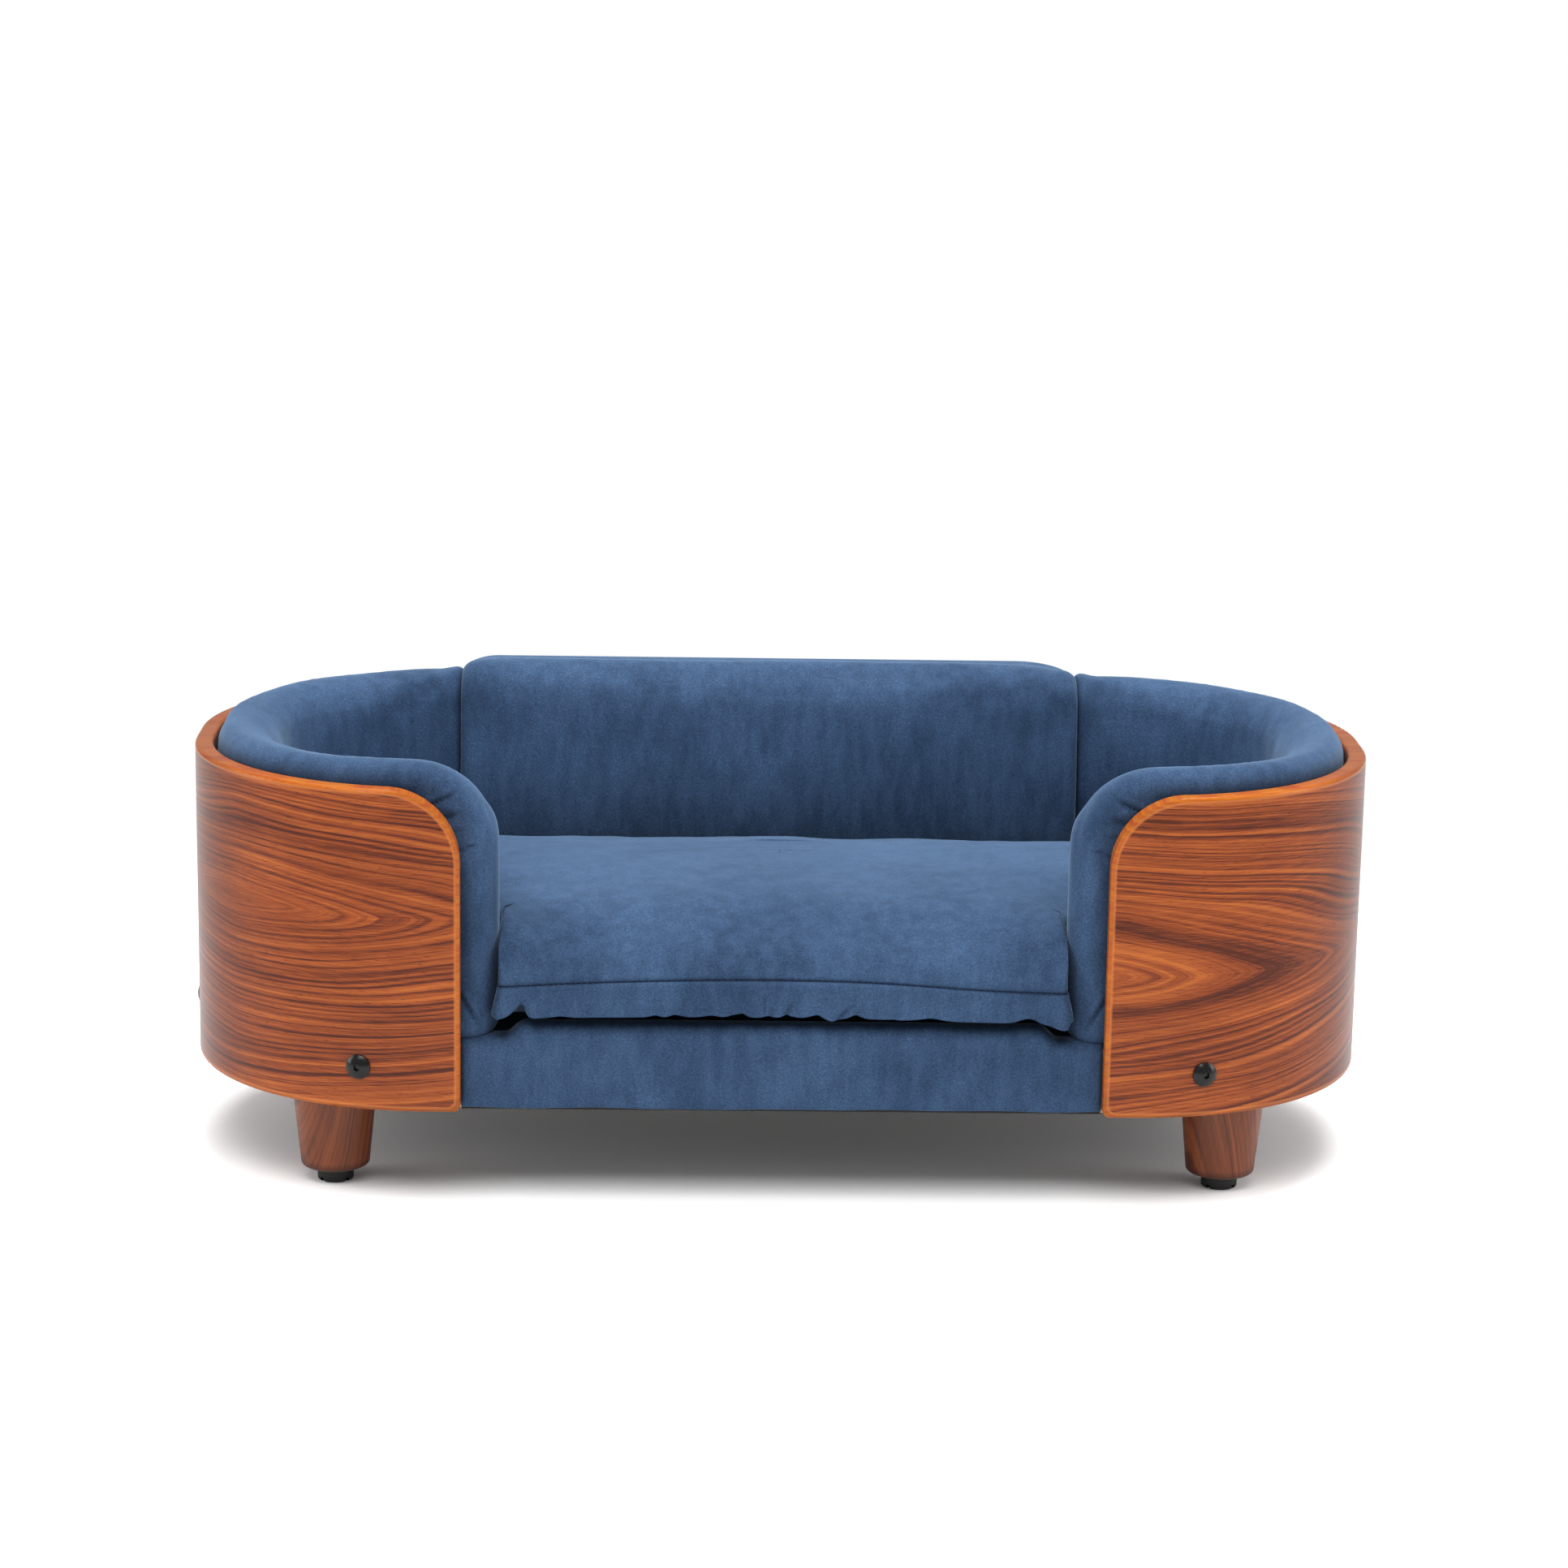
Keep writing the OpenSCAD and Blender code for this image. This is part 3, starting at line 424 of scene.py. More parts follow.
@dataclass(frozen=True)
class Plan:
    """The sofa's plan and levels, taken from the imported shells."""

    half_w: float
    half_d: float
    low: float
    rim: float
    mouth_x: float
    side_run: float = 28 * MM
    ply_t: float = 12 * MM

    @classmethod
    def from_frame(cls) -> "Plan":
        """Reads the plan from the right-hand shell's box."""
        low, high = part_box("shell_right")
        return cls(high.x, high.y, low.z, high.z, low.x)

    @property
    def arc_y(self) -> float:
        """Where a bend starts, from the middle to the front or back."""
        return self.side_run / 2

    @property
    def radius(self) -> float:
        """Outer radius of a bend."""
        return self.half_d - self.arc_y

    @property
    def arc_x(self) -> float:
        """Where a bend starts, from the middle to the side."""
        return self.half_w - self.radius

    def inset(self, points: np.ndarray) -> np.ndarray:
        """How far places lie in from the shells' outer face."""
        dx = np.maximum(np.abs(points[:, 0]) - self.arc_x, 0)
        dy = np.maximum(np.abs(points[:, 1]) - self.arc_y, 0)
        return self.radius - np.hypot(dx, dy)


@dataclass(frozen=True)
class Filling:
    """How a padded piece swells when its cloth is simulated under pressure."""

    voxel: float = 6.0 * MM
    pressure: float = 4.0
    cap: float = 4 * MM
    sink: float = 1.6 * MM
    frames: int = 14
    quality: int = 4
    mass: float = 0.3
    stiffness: float = 15
    shear: float = 5
    bending: float = 0.5
    neighbours: int = 8

    def swell(self, piece: bpy.types.Object, held: Callable[[np.ndarray], np.ndarray]) -> None:
        """Swells a piece: a remeshed copy is simulated, and its movement is carried over.

        Args:
            piece: The finished mesh, which keeps its own points and faces.
            held: Gives 1 for places that stay where they are and 0 for free ones.
        """
        copy = self.remeshed(piece)
        rest = coordinates(copy.data)
        moved = self.simulated(copy, held(rest))
        movement = moved - rest
        length = np.linalg.norm(movement, axis=1, keepdims=True)
        movement *= self.cap * np.tanh(length / self.cap) / np.maximum(length, 1e-9)
        tree = KDTree(len(rest))
        for number, place in enumerate(rest):
            tree.insert(place, number)
        tree.balance()
        points = coordinates(piece.data)
        carried = np.array([self.nearby(tree, movement, place) for place in points])
        free = (1 - held(points))[:, None]
        set_coordinates(piece.data, points + (carried - self.sink * normals_of(piece.data)) * free)
        bpy.data.objects.remove(copy)

    def nearby(self, tree: KDTree, movement: np.ndarray, place: np.ndarray) -> np.ndarray:
        """The mean movement round a place, nearer points counting more."""
        found = tree.find_n(place, self.neighbours)
        numbers = [number for _, number, _ in found]
        weights = np.array([1 / (distance + MM) for _, _, distance in found])
        return (movement[numbers] * weights[:, None]).sum(0) / weights.sum()

    def remeshed(self, piece: bpy.types.Object) -> bpy.types.Object:
        """An evenly meshed copy of a piece.

        Args:
            piece: The piece.

        Returns:
            The copy, linked into the scene.
        """
        copy = linked(piece.name + "_trial", piece.data.copy())
        remesh = copy.modifiers.new("even", "REMESH")
        remesh.mode = "VOXEL"
        remesh.voxel_size = self.voxel
        return plain(copy)

    def simulated(self, copy: bpy.types.Object, held: np.ndarray) -> np.ndarray:
        """Runs the cloth and returns where its points end up.

        Args:
            copy: The trial piece.
            held: How firmly each point is held, from 0 to 1.

        Returns:
            The moved places, one a row.
        """
        least = 0.01
        group = copy.vertex_groups.new(name="held")
        for number, weight in enumerate(held):
            if weight > least:
                group.add([number], float(weight), "REPLACE")
        cloth = copy.modifiers.new("cloth", "CLOTH")
        settings = cloth.settings
        settings.quality = self.quality
        settings.mass = self.mass
        settings.tension_stiffness = settings.compression_stiffness = self.stiffness
        settings.shear_stiffness = self.shear
        settings.bending_stiffness = self.bending
        settings.use_pressure = True
        settings.uniform_pressure_force = self.pressure
        settings.effector_weights.gravity = 0
        settings.vertex_group_mass = "held"
        cloth.point_cache.frame_start = 1
        cloth.point_cache.frame_end = self.frames
        scene = bpy.context.scene
        for number in range(1, self.frames + 1):
            scene.frame_set(number)
        evaluated = copy.evaluated_get(bpy.context.evaluated_depsgraph_get())
        moved = coordinates(evaluated.data)
        copy.modifiers.remove(cloth)
        scene.frame_set(1)
        return moved


def plain(piece: bpy.types.Object) -> bpy.types.Object:
    """Turns a piece's modifiers into plain mesh.

    Args:
        piece: The piece.

    Returns:
        The same piece, with a plain mesh.
    """
    graph = bpy.context.evaluated_depsgraph_get()
    mesh = bpy.data.meshes.new_from_object(piece.evaluated_get(graph))
    piece.modifiers.clear()
    piece.data = mesh
    return piece


def stretched_sheet(cloth: bpy.types.Object, flat: tuple[float, float]) -> None:
    """Logs the flat size of a cloth that is cut flat and held stretched.

    Args:
        cloth: The finished cloth.
        flat: Width and length of the flat piece, in metres.
    """
    log.info("%s is cut %.1f x %.1f mm", cloth.name, flat[0] / MM, flat[1] / MM)


def finish_piece(piece: bpy.types.Object, material: bpy.types.Material, body: str,
                 nodes: Sequence[str] = ()) -> None:
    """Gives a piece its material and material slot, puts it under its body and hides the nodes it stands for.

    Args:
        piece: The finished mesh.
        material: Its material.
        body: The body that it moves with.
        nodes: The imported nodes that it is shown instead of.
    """
    piece.data.materials.clear()
    piece.data.materials.append(material)
    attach(piece, body)
    if nodes:
        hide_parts(*nodes)
    log.info("%s: %d faces", piece.name, len(piece.data.polygons))


def grown(piece: bpy.types.Object, group: GroupBuilder, values: dict) -> bpy.types.Object:
    """Runs geometry nodes on a piece and keeps their result as its plain mesh.

    Args:
        piece: What the nodes start from.
        group: The nodes.
        values: Values of their named inputs.

    Returns:
        The piece.
    """
    modifier = piece.modifiers.new(group.tree.name, "NODES")
    modifier.node_group = group.tree
    for label, value in values.items():
        modifier[group.sockets[label]] = value
    plain(piece)
    piece.data.name = piece.name
    piece.data.shade_smooth()
    return piece


@dataclass(frozen=True)
class Crease:
    """A short fold in the cloth, drawn on the front of a piece from one place to another."""

    start: tuple
    end: tuple
    depth: float
    width: float = 2.2 * MM

    def offset(self, x: np.ndarray, z: np.ndarray) -> np.ndarray:
        """How far the cloth moves out at places of the front: a groove with a raised lip beside it.

        Args:
            x: Places across the front.
            z: Their heights.

        Returns:
            Distances along the piece's outward direction.
        """
        a, b = np.array(self.start), np.array(self.end)
        run = b - a
        length = np.linalg.norm(run)
        along = ((x - a[0]) * run[0] + (z - a[1]) * run[1]) / length
        across = ((x - a[0]) * run[1] - (z - a[1]) * run[0]) / length
        fade = step(along, -2 * MM, 1 * MM) * (1 - step(along, 0.45 * length, length))
        groove = bell(across, 0, self.width)
        lip = bell(across, 2.4 * self.width, 1.7 * self.width)
        return self.depth * fade * (0.55 * lip - groove)


@dataclass(frozen=True)
class Gather:
    """A short fold that runs out from a shell's rounded corner, in degrees and millimetres."""

    place: float
    heading: float
    length: float
    depth: float
    width: float

    def crease(self, centre: np.ndarray, radius: float) -> Crease:
        """The fold itself, from a place on an arc round the corner's centre."""
        start = centre + unit(self.place) * radius
        end = start + unit(self.heading) * self.length * MM
        return Crease(tuple(start), tuple(end), self.depth * MM, self.width * MM)


@dataclass
class ArmPad:
    """The curved pad inside one shell, with its rounded nose and the gathers on it."""

    plan: Plan
    side: Side
    nose_l: float = 23 * MM
    nose_top_r: float = 54 * MM
    nose_low_r: float = 13 * MM
    nose_swell: float = 5 * MM
    nose_tip: float = 0.25 * MM
    fine_run: float = 50 * MM
    fine_gap: float = 1.3 * MM
    crown: float = 3 * MM
    top_in_r: float = 21 * MM
    top_out_r: float = 17 * MM
    low_r: float = 8 * MM
    end_r: float = 6 * MM
    gap: float = 4.5 * MM
    section_gap: float = 1.7 * MM
    press: float = 0.5 * MM
    back_shift: float = 5.5 * MM
    front_corner_r: float = 48 * MM
    out_gap: float = 0.4 * MM
    thickness: float = 42 * MM
    gather_start: float = 3 * MM
    wave: Unevenness = Unevenness(0.55, 70, 11)
    hollow_wave: Unevenness = Unevenness(0.35, 24, 16, (1, 1, 0.15))
    held_back: tuple[float, float] = (4 * MM, 16 * MM)
    held_rim: tuple[float, float] = (-30 * MM, 0.0)
    held_foot: tuple[float, float] = (2 * MM, 14 * MM)
    held_rear: tuple[float, float] = (3 * MM, 16 * MM)
    held_tip: tuple[float, float] = (0.5 * MM, 9 * MM)
    gathers: Sequence[Gather] = (
        Gather(109, 132, 13, 0.9, 1.0), Gather(128, 154, 24, 1.9, 0.9), Gather(136, 170, 11, 0.8, 1.5),
        Gather(143, 160, 13, 2.4, 1.9), Gather(156, 165, 11, 0.7, 1.4), Gather(171, 160, 17, 2.0, 0.9))

    def __post_init__(self) -> None:
        """Reads the pad's own levels and width from its node."""
        self.node = "arm_pad_" + self.side.word
        low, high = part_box("arm_pad_right")
        self.low, self.high = low.z, high.z
        self.nose_x = low.x
        self.out_inset = self.plan.ply_t + self.out_gap
        self.in_inset = self.plan.ply_t + self.thickness
        self.width = self.in_inset - self.crown - self.out_inset
        self.rear_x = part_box("back_pad")[1].x - self.press - self.side.value * self.back_shift

    def section(self) -> np.ndarray:
        """The pad's section, [distance in from its outer face, height], from its bottom round the inside.

        Returns:
            The closed section's points, one a row.
        """
        w, h, gap = self.width, self.high - self.low, self.section_gap
        inner = [(w / 2, 0.0), *line_points((w / 2, 0), (w - self.low_r, 0), gap)]
        inner += arc_points((w - self.low_r, self.low_r), self.low_r, 270, 360, 5)
        inner += line_points((w, self.low_r), (w, h - self.top_in_r), gap)
        inner += arc_points((w - self.top_in_r, h - self.top_in_r), self.top_in_r, 0, 90, 11)
        outer = [(w / 2, 0.0), *line_points((w / 2, 0), (self.low_r, 0), gap)]
        outer += arc_points((self.low_r, self.low_r), self.low_r, 270, 180, 5)
        outer += line_points((0, self.low_r), (0, h - self.top_out_r), gap)
        outer += arc_points((self.top_out_r, h - self.top_out_r), self.top_out_r, 180, 90, 10)
        count = max(len(inner), len(outer))
        halves = [resample(np.array(half), count) for half in (inner, outer)]
        return np.vstack([halves[0], halves[1][::-1][1:-1]])

    def stations(self) -> np.ndarray:
        """Places along the wall: [centre x, centre y, angle, from the nose, from the rear end].

        Returns:
            One row for each ring.
        """
        plan = self.plan
        front_run, rear_run = plan.arc_x - self.nose_x, plan.arc_x - self.rear_x
        middle_r = plan.radius - (self.out_inset + self.in_inset) / 2
        bend = middle_r * math.pi / 2
        total = front_run + bend + plan.side_run + bend + rear_run
        nose = self.nose_l * (1 - np.cos(np.linspace(0, math.pi / 2, 19)))
        near = np.arange(nose[-1] + self.fine_gap, self.fine_run, self.fine_gap)
        body = np.concatenate([near, np.arange(near[-1] + self.gap, total - self.end_r, self.gap)])
        rear = total - self.end_r * (1 - np.cos(np.linspace(math.pi / 2, 0, 5)))
        rows = []
        for d in np.concatenate([nose, body, rear]):
            past = d - front_run
            if past < 0:
                place = (self.nose_x + d, -plan.arc_y, -90.0)
            elif past < bend:
                place = (plan.arc_x, -plan.arc_y, -90 + 90 * past / bend)
            elif past < bend + plan.side_run:
                place = (plan.arc_x, past - bend - plan.arc_y, 0.0)
            elif past < 2 * bend + plan.side_run:
                place = (plan.arc_x, plan.arc_y, 90 * (past - bend - plan.side_run) / bend)
            else:
                place = (plan.arc_x - (past - 2 * bend - plan.side_run), plan.arc_y, 90.0)
            rows.append((*place, d, total - d))
        return np.array(rows)

    def ring(self, station: np.ndarray, section: np.ndarray) -> np.ndarray:
        """One ring of the pad in space.

        Args:
            station: A row of stations().
            section: What section() returns.

        Returns:
            The ring's places, one a row.
        """
        x, y, angle, from_nose, from_rear = station
        height = self.high - self.low
        end = smooth_share(from_rear, self.end_r)
        thick = smooth_share(from_nose + self.nose_tip, self.nose_l) * (1 - (1 - end) * 0.25)
        top_drop = self.nose_top_r * (1 - smooth_share(from_nose, self.nose_top_r))
        top_drop += self.end_r * (1 - end) / 2
        low_lift = self.nose_low_r * (1 - smooth_share(from_nose, self.nose_low_r))
        swell = self.nose_swell * max(0.0, 1 - from_nose / self.nose_l)
        across, up = section[:, 0], section[:, 1]
        curve = np.sin(math.pi * up / height)
        crown = np.where(across > self.width / 2, self.crown * curve, 0)
        front = np.where(across < self.width / 2, swell * curve, 0)
        middle = self.out_inset + self.width / 2
        inset = middle + (self.out_inset + across + crown - front - middle) * thick
        reach = self.plan.radius - inset
        stretch = (height - top_drop - low_lift) / height
        return np.stack([
            x + reach * math.cos(math.radians(angle)),
            y + reach * math.sin(math.radians(angle)),
            self.low + low_lift + up * stretch], axis=1)

    def held(self, points: np.ndarray) -> np.ndarray:
        """The pad is held at its back, where the shell is, at its foot, its rear end and its nose's tip.

        Args:
            points: Places, one a row.

        Returns:
            From 0, free, to 1, held.
        """
        inset = self.plan.inset(points)
        back = 1 - step_from(inset, self.out_inset, self.held_back)
        below_rim = 1 - step_from(points[:, 2], self.plan.rim, self.held_rim)
        foot = 1 - step_from(points[:, 2], self.low, self.held_foot)
        out = np.abs(points[:, 0])
        rear = (1 - step_from(out, self.rear_x, self.held_rear)) * (points[:, 1] > 0)
        tip = (1 - step_from(out, self.nose_x, self.held_tip)) * (points[:, 1] < 0)
        return np.maximum(np.maximum(back * below_rim, foot), np.maximum(rear, tip))

    def creases(self) -> list[Crease]:
        """Gathers that run out from the shell's rounded corner, and the fold at the nose's foot.

        Returns:
            The folds, measured across the front and up.
        """
        centre = np.array((self.plan.mouth_x + self.front_corner_r, self.plan.rim - self.front_corner_r))
        radius = self.front_corner_r - self.gather_start
        made = [gather.crease(centre, radius) for gather in self.gathers]
        low = (self.plan.mouth_x + 1 * MM, self.low + 31 * MM)
        made.append(Crease(low, (self.nose_x + 8 * MM, self.low + 4 * MM), 2.4 * MM, 1.1 * MM))
        return made

    def fold(self, piece: bpy.types.Object) -> None:
        """Adds the gathers at the nose and the soft unevenness of the cloth.

        Args:
            piece: The piece.
        """
        points = coordinates(piece.data)
        outward = normals_of(piece.data)
        faces_front = step(-outward[:, 1], 0.1, 0.5)
        front = faces_front * step(-points[:, 1], 0.6 * self.plan.half_d, 0.8 * self.plan.half_d)
        x = np.abs(points[:, 0])
        move = sum(crease.offset(x, points[:, 2]) for crease in self.creases()) * front
        free = 1 - self.held(points)
        shift = int(self.side is Side.RIGHT)
        move += free * self.wave.over(points, shift)
        hollow = free * step(self.plan.inset(points), self.in_inset - 8 * MM, self.in_inset)
        move += hollow * self.hollow_wave.over(points, shift)
        set_coordinates(piece.data, points + outward * move[:, None])

    def build(self, material: bpy.types.Material) -> bpy.types.Object:
        """Makes the pad.

        Args:
            material: The cloth.

        Returns:
            The finished pad.
        """
        section = self.section()
        rings = np.array([self.ring(station, section) for station in self.stations()])
        rings[:, :, 0] *= self.side.value
        piece = loft(self.node + "_cloth", rings)
        Filling(cap=3.2 * MM, sink=2.0 * MM).swell(piece, self.held)
        self.fold(piece)
        finish_piece(piece, material, SOFA, [self.node])
        return piece


@dataclass
class BackPad:
    """The taller pad at the back, whose top caps the back board."""

    plan: Plan
    low_t: float = 61 * MM
    top_t: float = 44 * MM
    top_front_r: float = 21 * MM
    low_front_r: float = 9 * MM
    top_sink: float = 4.7 * MM
    top_slope: float = 11.5
    rear_drop: float = 2.4 * MM
    end_r: float = 9 * MM
    crown: float = 3 * MM
    shift: float = 5.5 * MM
    left_corner: tuple[float, float] = (25 * MM, 13 * MM)
    right_corner: tuple[float, float] = (42 * MM, 14.5 * MM)
    press: float = 0.5 * MM
    gap: float = 2.9 * MM
    held_rear: tuple[float, float] = (-18 * MM, -8 * MM)
    held_foot: tuple[float, float] = (2 * MM, 14 * MM)
    held_end: tuple[float, float] = (-18 * MM, -4 * MM)
    wave: Unevenness = Unevenness(0.6, 90, 21)
    end_pull: Unevenness = Unevenness(0.4, 26, 23, (0.35, 1, 1))

    def __post_init__(self) -> None:
        """Reads the pad's box and the board's top from their nodes."""
        low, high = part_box("back_pad")
        self.half_w, self.low, self.high = high.x + self.press, low.z, high.z - self.top_sink
        self.rear_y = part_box("back_board")[0].y - 0.4 * MM
        self.cap_y = high.y
        self.cap_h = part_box("back_board")[1].z + 0.4 * MM - self.low

    def section(self) -> np.ndarray:
        """The pad's section, [y, height], from its bottom up the front and down the rear.

        Returns:
            The closed section's points, one a row.
        """
        h, gap = self.high - self.low, self.gap
        low_y, high_y = self.rear_y - self.low_t, self.rear_y - self.top_t
        bottom = ((low_y + self.rear_y) / 2, 0.0)
        front = [bottom, *line_points(bottom, (low_y + self.low_front_r, 0), gap)]
        front += arc_points((low_y + self.low_front_r, self.low_front_r), self.low_front_r, 270, 180, 5)
        crest = (high_y + self.top_front_r, h - self.top_front_r)
        front += line_points((low_y, self.low_front_r), (high_y, crest[1]), gap)
        front += arc_points(crest, self.top_front_r, 180, 90 - self.top_slope, 14)
        run = np.linspace(0, self.cap_y - front[-1][0], 12)
        fall = run * math.tan(math.radians(self.top_slope)) + self.rear_drop * (run / run[-1]) ** 3
        top = [(front[-1][0] + r, front[-1][1] - f) for r, f in zip(run[1:], fall[1:])]
        front += top[:3]
        rear = [bottom, *line_points(bottom, (self.rear_y, 0), gap), (self.rear_y, 0.0)]
        rear += line_points((self.rear_y, 0), (self.rear_y, self.cap_h), gap)
        cap = ((self.rear_y, self.cap_h), (self.cap_y, self.cap_h))
        rear += [cap[0], *line_points(*cap, gap), cap[1]] + top[::-1][:-2]
        count = max(len(front), len(rear))
        halves = [resample(np.array(half), count) for half in (front, rear)]
        return np.vstack([halves[0], halves[1][::-1][1:-1]])

    def ring(self, x: float, section: np.ndarray) -> np.ndarray:
        """One ring of the pad at a place along the sofa.

        Args:
            x: The place along the sofa.
            section: What section() returns.

        Returns:
            The ring's places, one a row.
        """
        h = self.high - self.low
        from_end = self.half_w - abs(x)
        corner_w, corner_h = self.left_corner if x < 0 else self.right_corner
        depth = 1 - self.end_r * (1 - smooth_share(from_end, self.end_r)) / self.low_t
        drop = corner_h * (1 - smooth_share(from_end, corner_w))
        y, up = section[:, 0], section[:, 1]
        crown_share = smooth_share(from_end, self.half_w) ** 2
        is_front = y < self.rear_y - self.low_t / 3
        crown = np.where(is_front, self.crown * crown_share * np.sin(math.pi * up / h), 0)
        y = np.where(y < self.rear_y, self.rear_y - (self.rear_y - y + crown) * depth, y)
        lowered = drop * step(up, h / 2, h)
        return np.stack([np.full_like(y, x - self.shift), y, self.low + up - lowered], axis=1)

    def held(self, points: np.ndarray) -> np.ndarray:
        """The pad is held at its rear, its foot and its two ends."""
        rear = step_from(points[:, 1], self.rear_y, self.held_rear)
        foot = 1 - step_from(points[:, 2], self.low, self.held_foot)
        ends = step_from(np.abs(points[:, 0] + self.shift), self.half_w, self.held_end)
        return np.maximum(np.maximum(rear, foot), ends)

    def fold(self, piece: bpy.types.Object) -> None:
        """Adds the soft unevenness of the cloth, with tight pulls in from the two ends.

        Args:
            piece: The piece.
        """
        points = coordinates(piece.data)
        outward = normals_of(piece.data)
        free = 1 - self.held(points)
        near_end = bell(self.half_w - np.abs(points[:, 0] + self.shift), 14 * MM, 16 * MM)
        move = free * (self.wave.over(points) + near_end * self.end_pull.over(points))
        set_coordinates(piece.data, points + outward * move[:, None])

    def build(self, material: bpy.types.Material) -> bpy.types.Object:
        """Makes the pad.

        Args:
            material: The cloth.

        Returns:
            The finished pad.
        """
        ends = self.half_w - self.end_r * (1 - np.cos(np.linspace(0, math.pi / 2, 7)))
        body = np.linspace(0, ends[-1], round(ends[-1] / self.gap), endpoint=False)
        right = np.concatenate([body, ends[::-1]])
        places = np.concatenate([-right[::-1][:-1], right])
        section = self.section()
        piece = loft("back_pad_cloth", np.array([self.ring(x, section) for x in places]))
        Filling(cap=4.5 * MM, sink=2.4 * MM).swell(piece, self.held)
        self.fold(piece)
        finish_piece(piece, material, SOFA, ["back_pad"])
        return piece


@dataclass(frozen=True)
class HemFold:
    """A place where the cushion's lower edge is drawn up or hangs down, in millimetres."""

    x: float
    lift: float
    left_w: float
    right_w: float
    push: float = 0.0

    def share(self, x: np.ndarray) -> np.ndarray:
        """How much of the fold a place along the front has."""
        middle = self.x * MM
        left, right = (bell(x, middle, width * MM) for width in (self.left_w, self.right_w))
        return left * (x < middle) + right * (x >= middle)


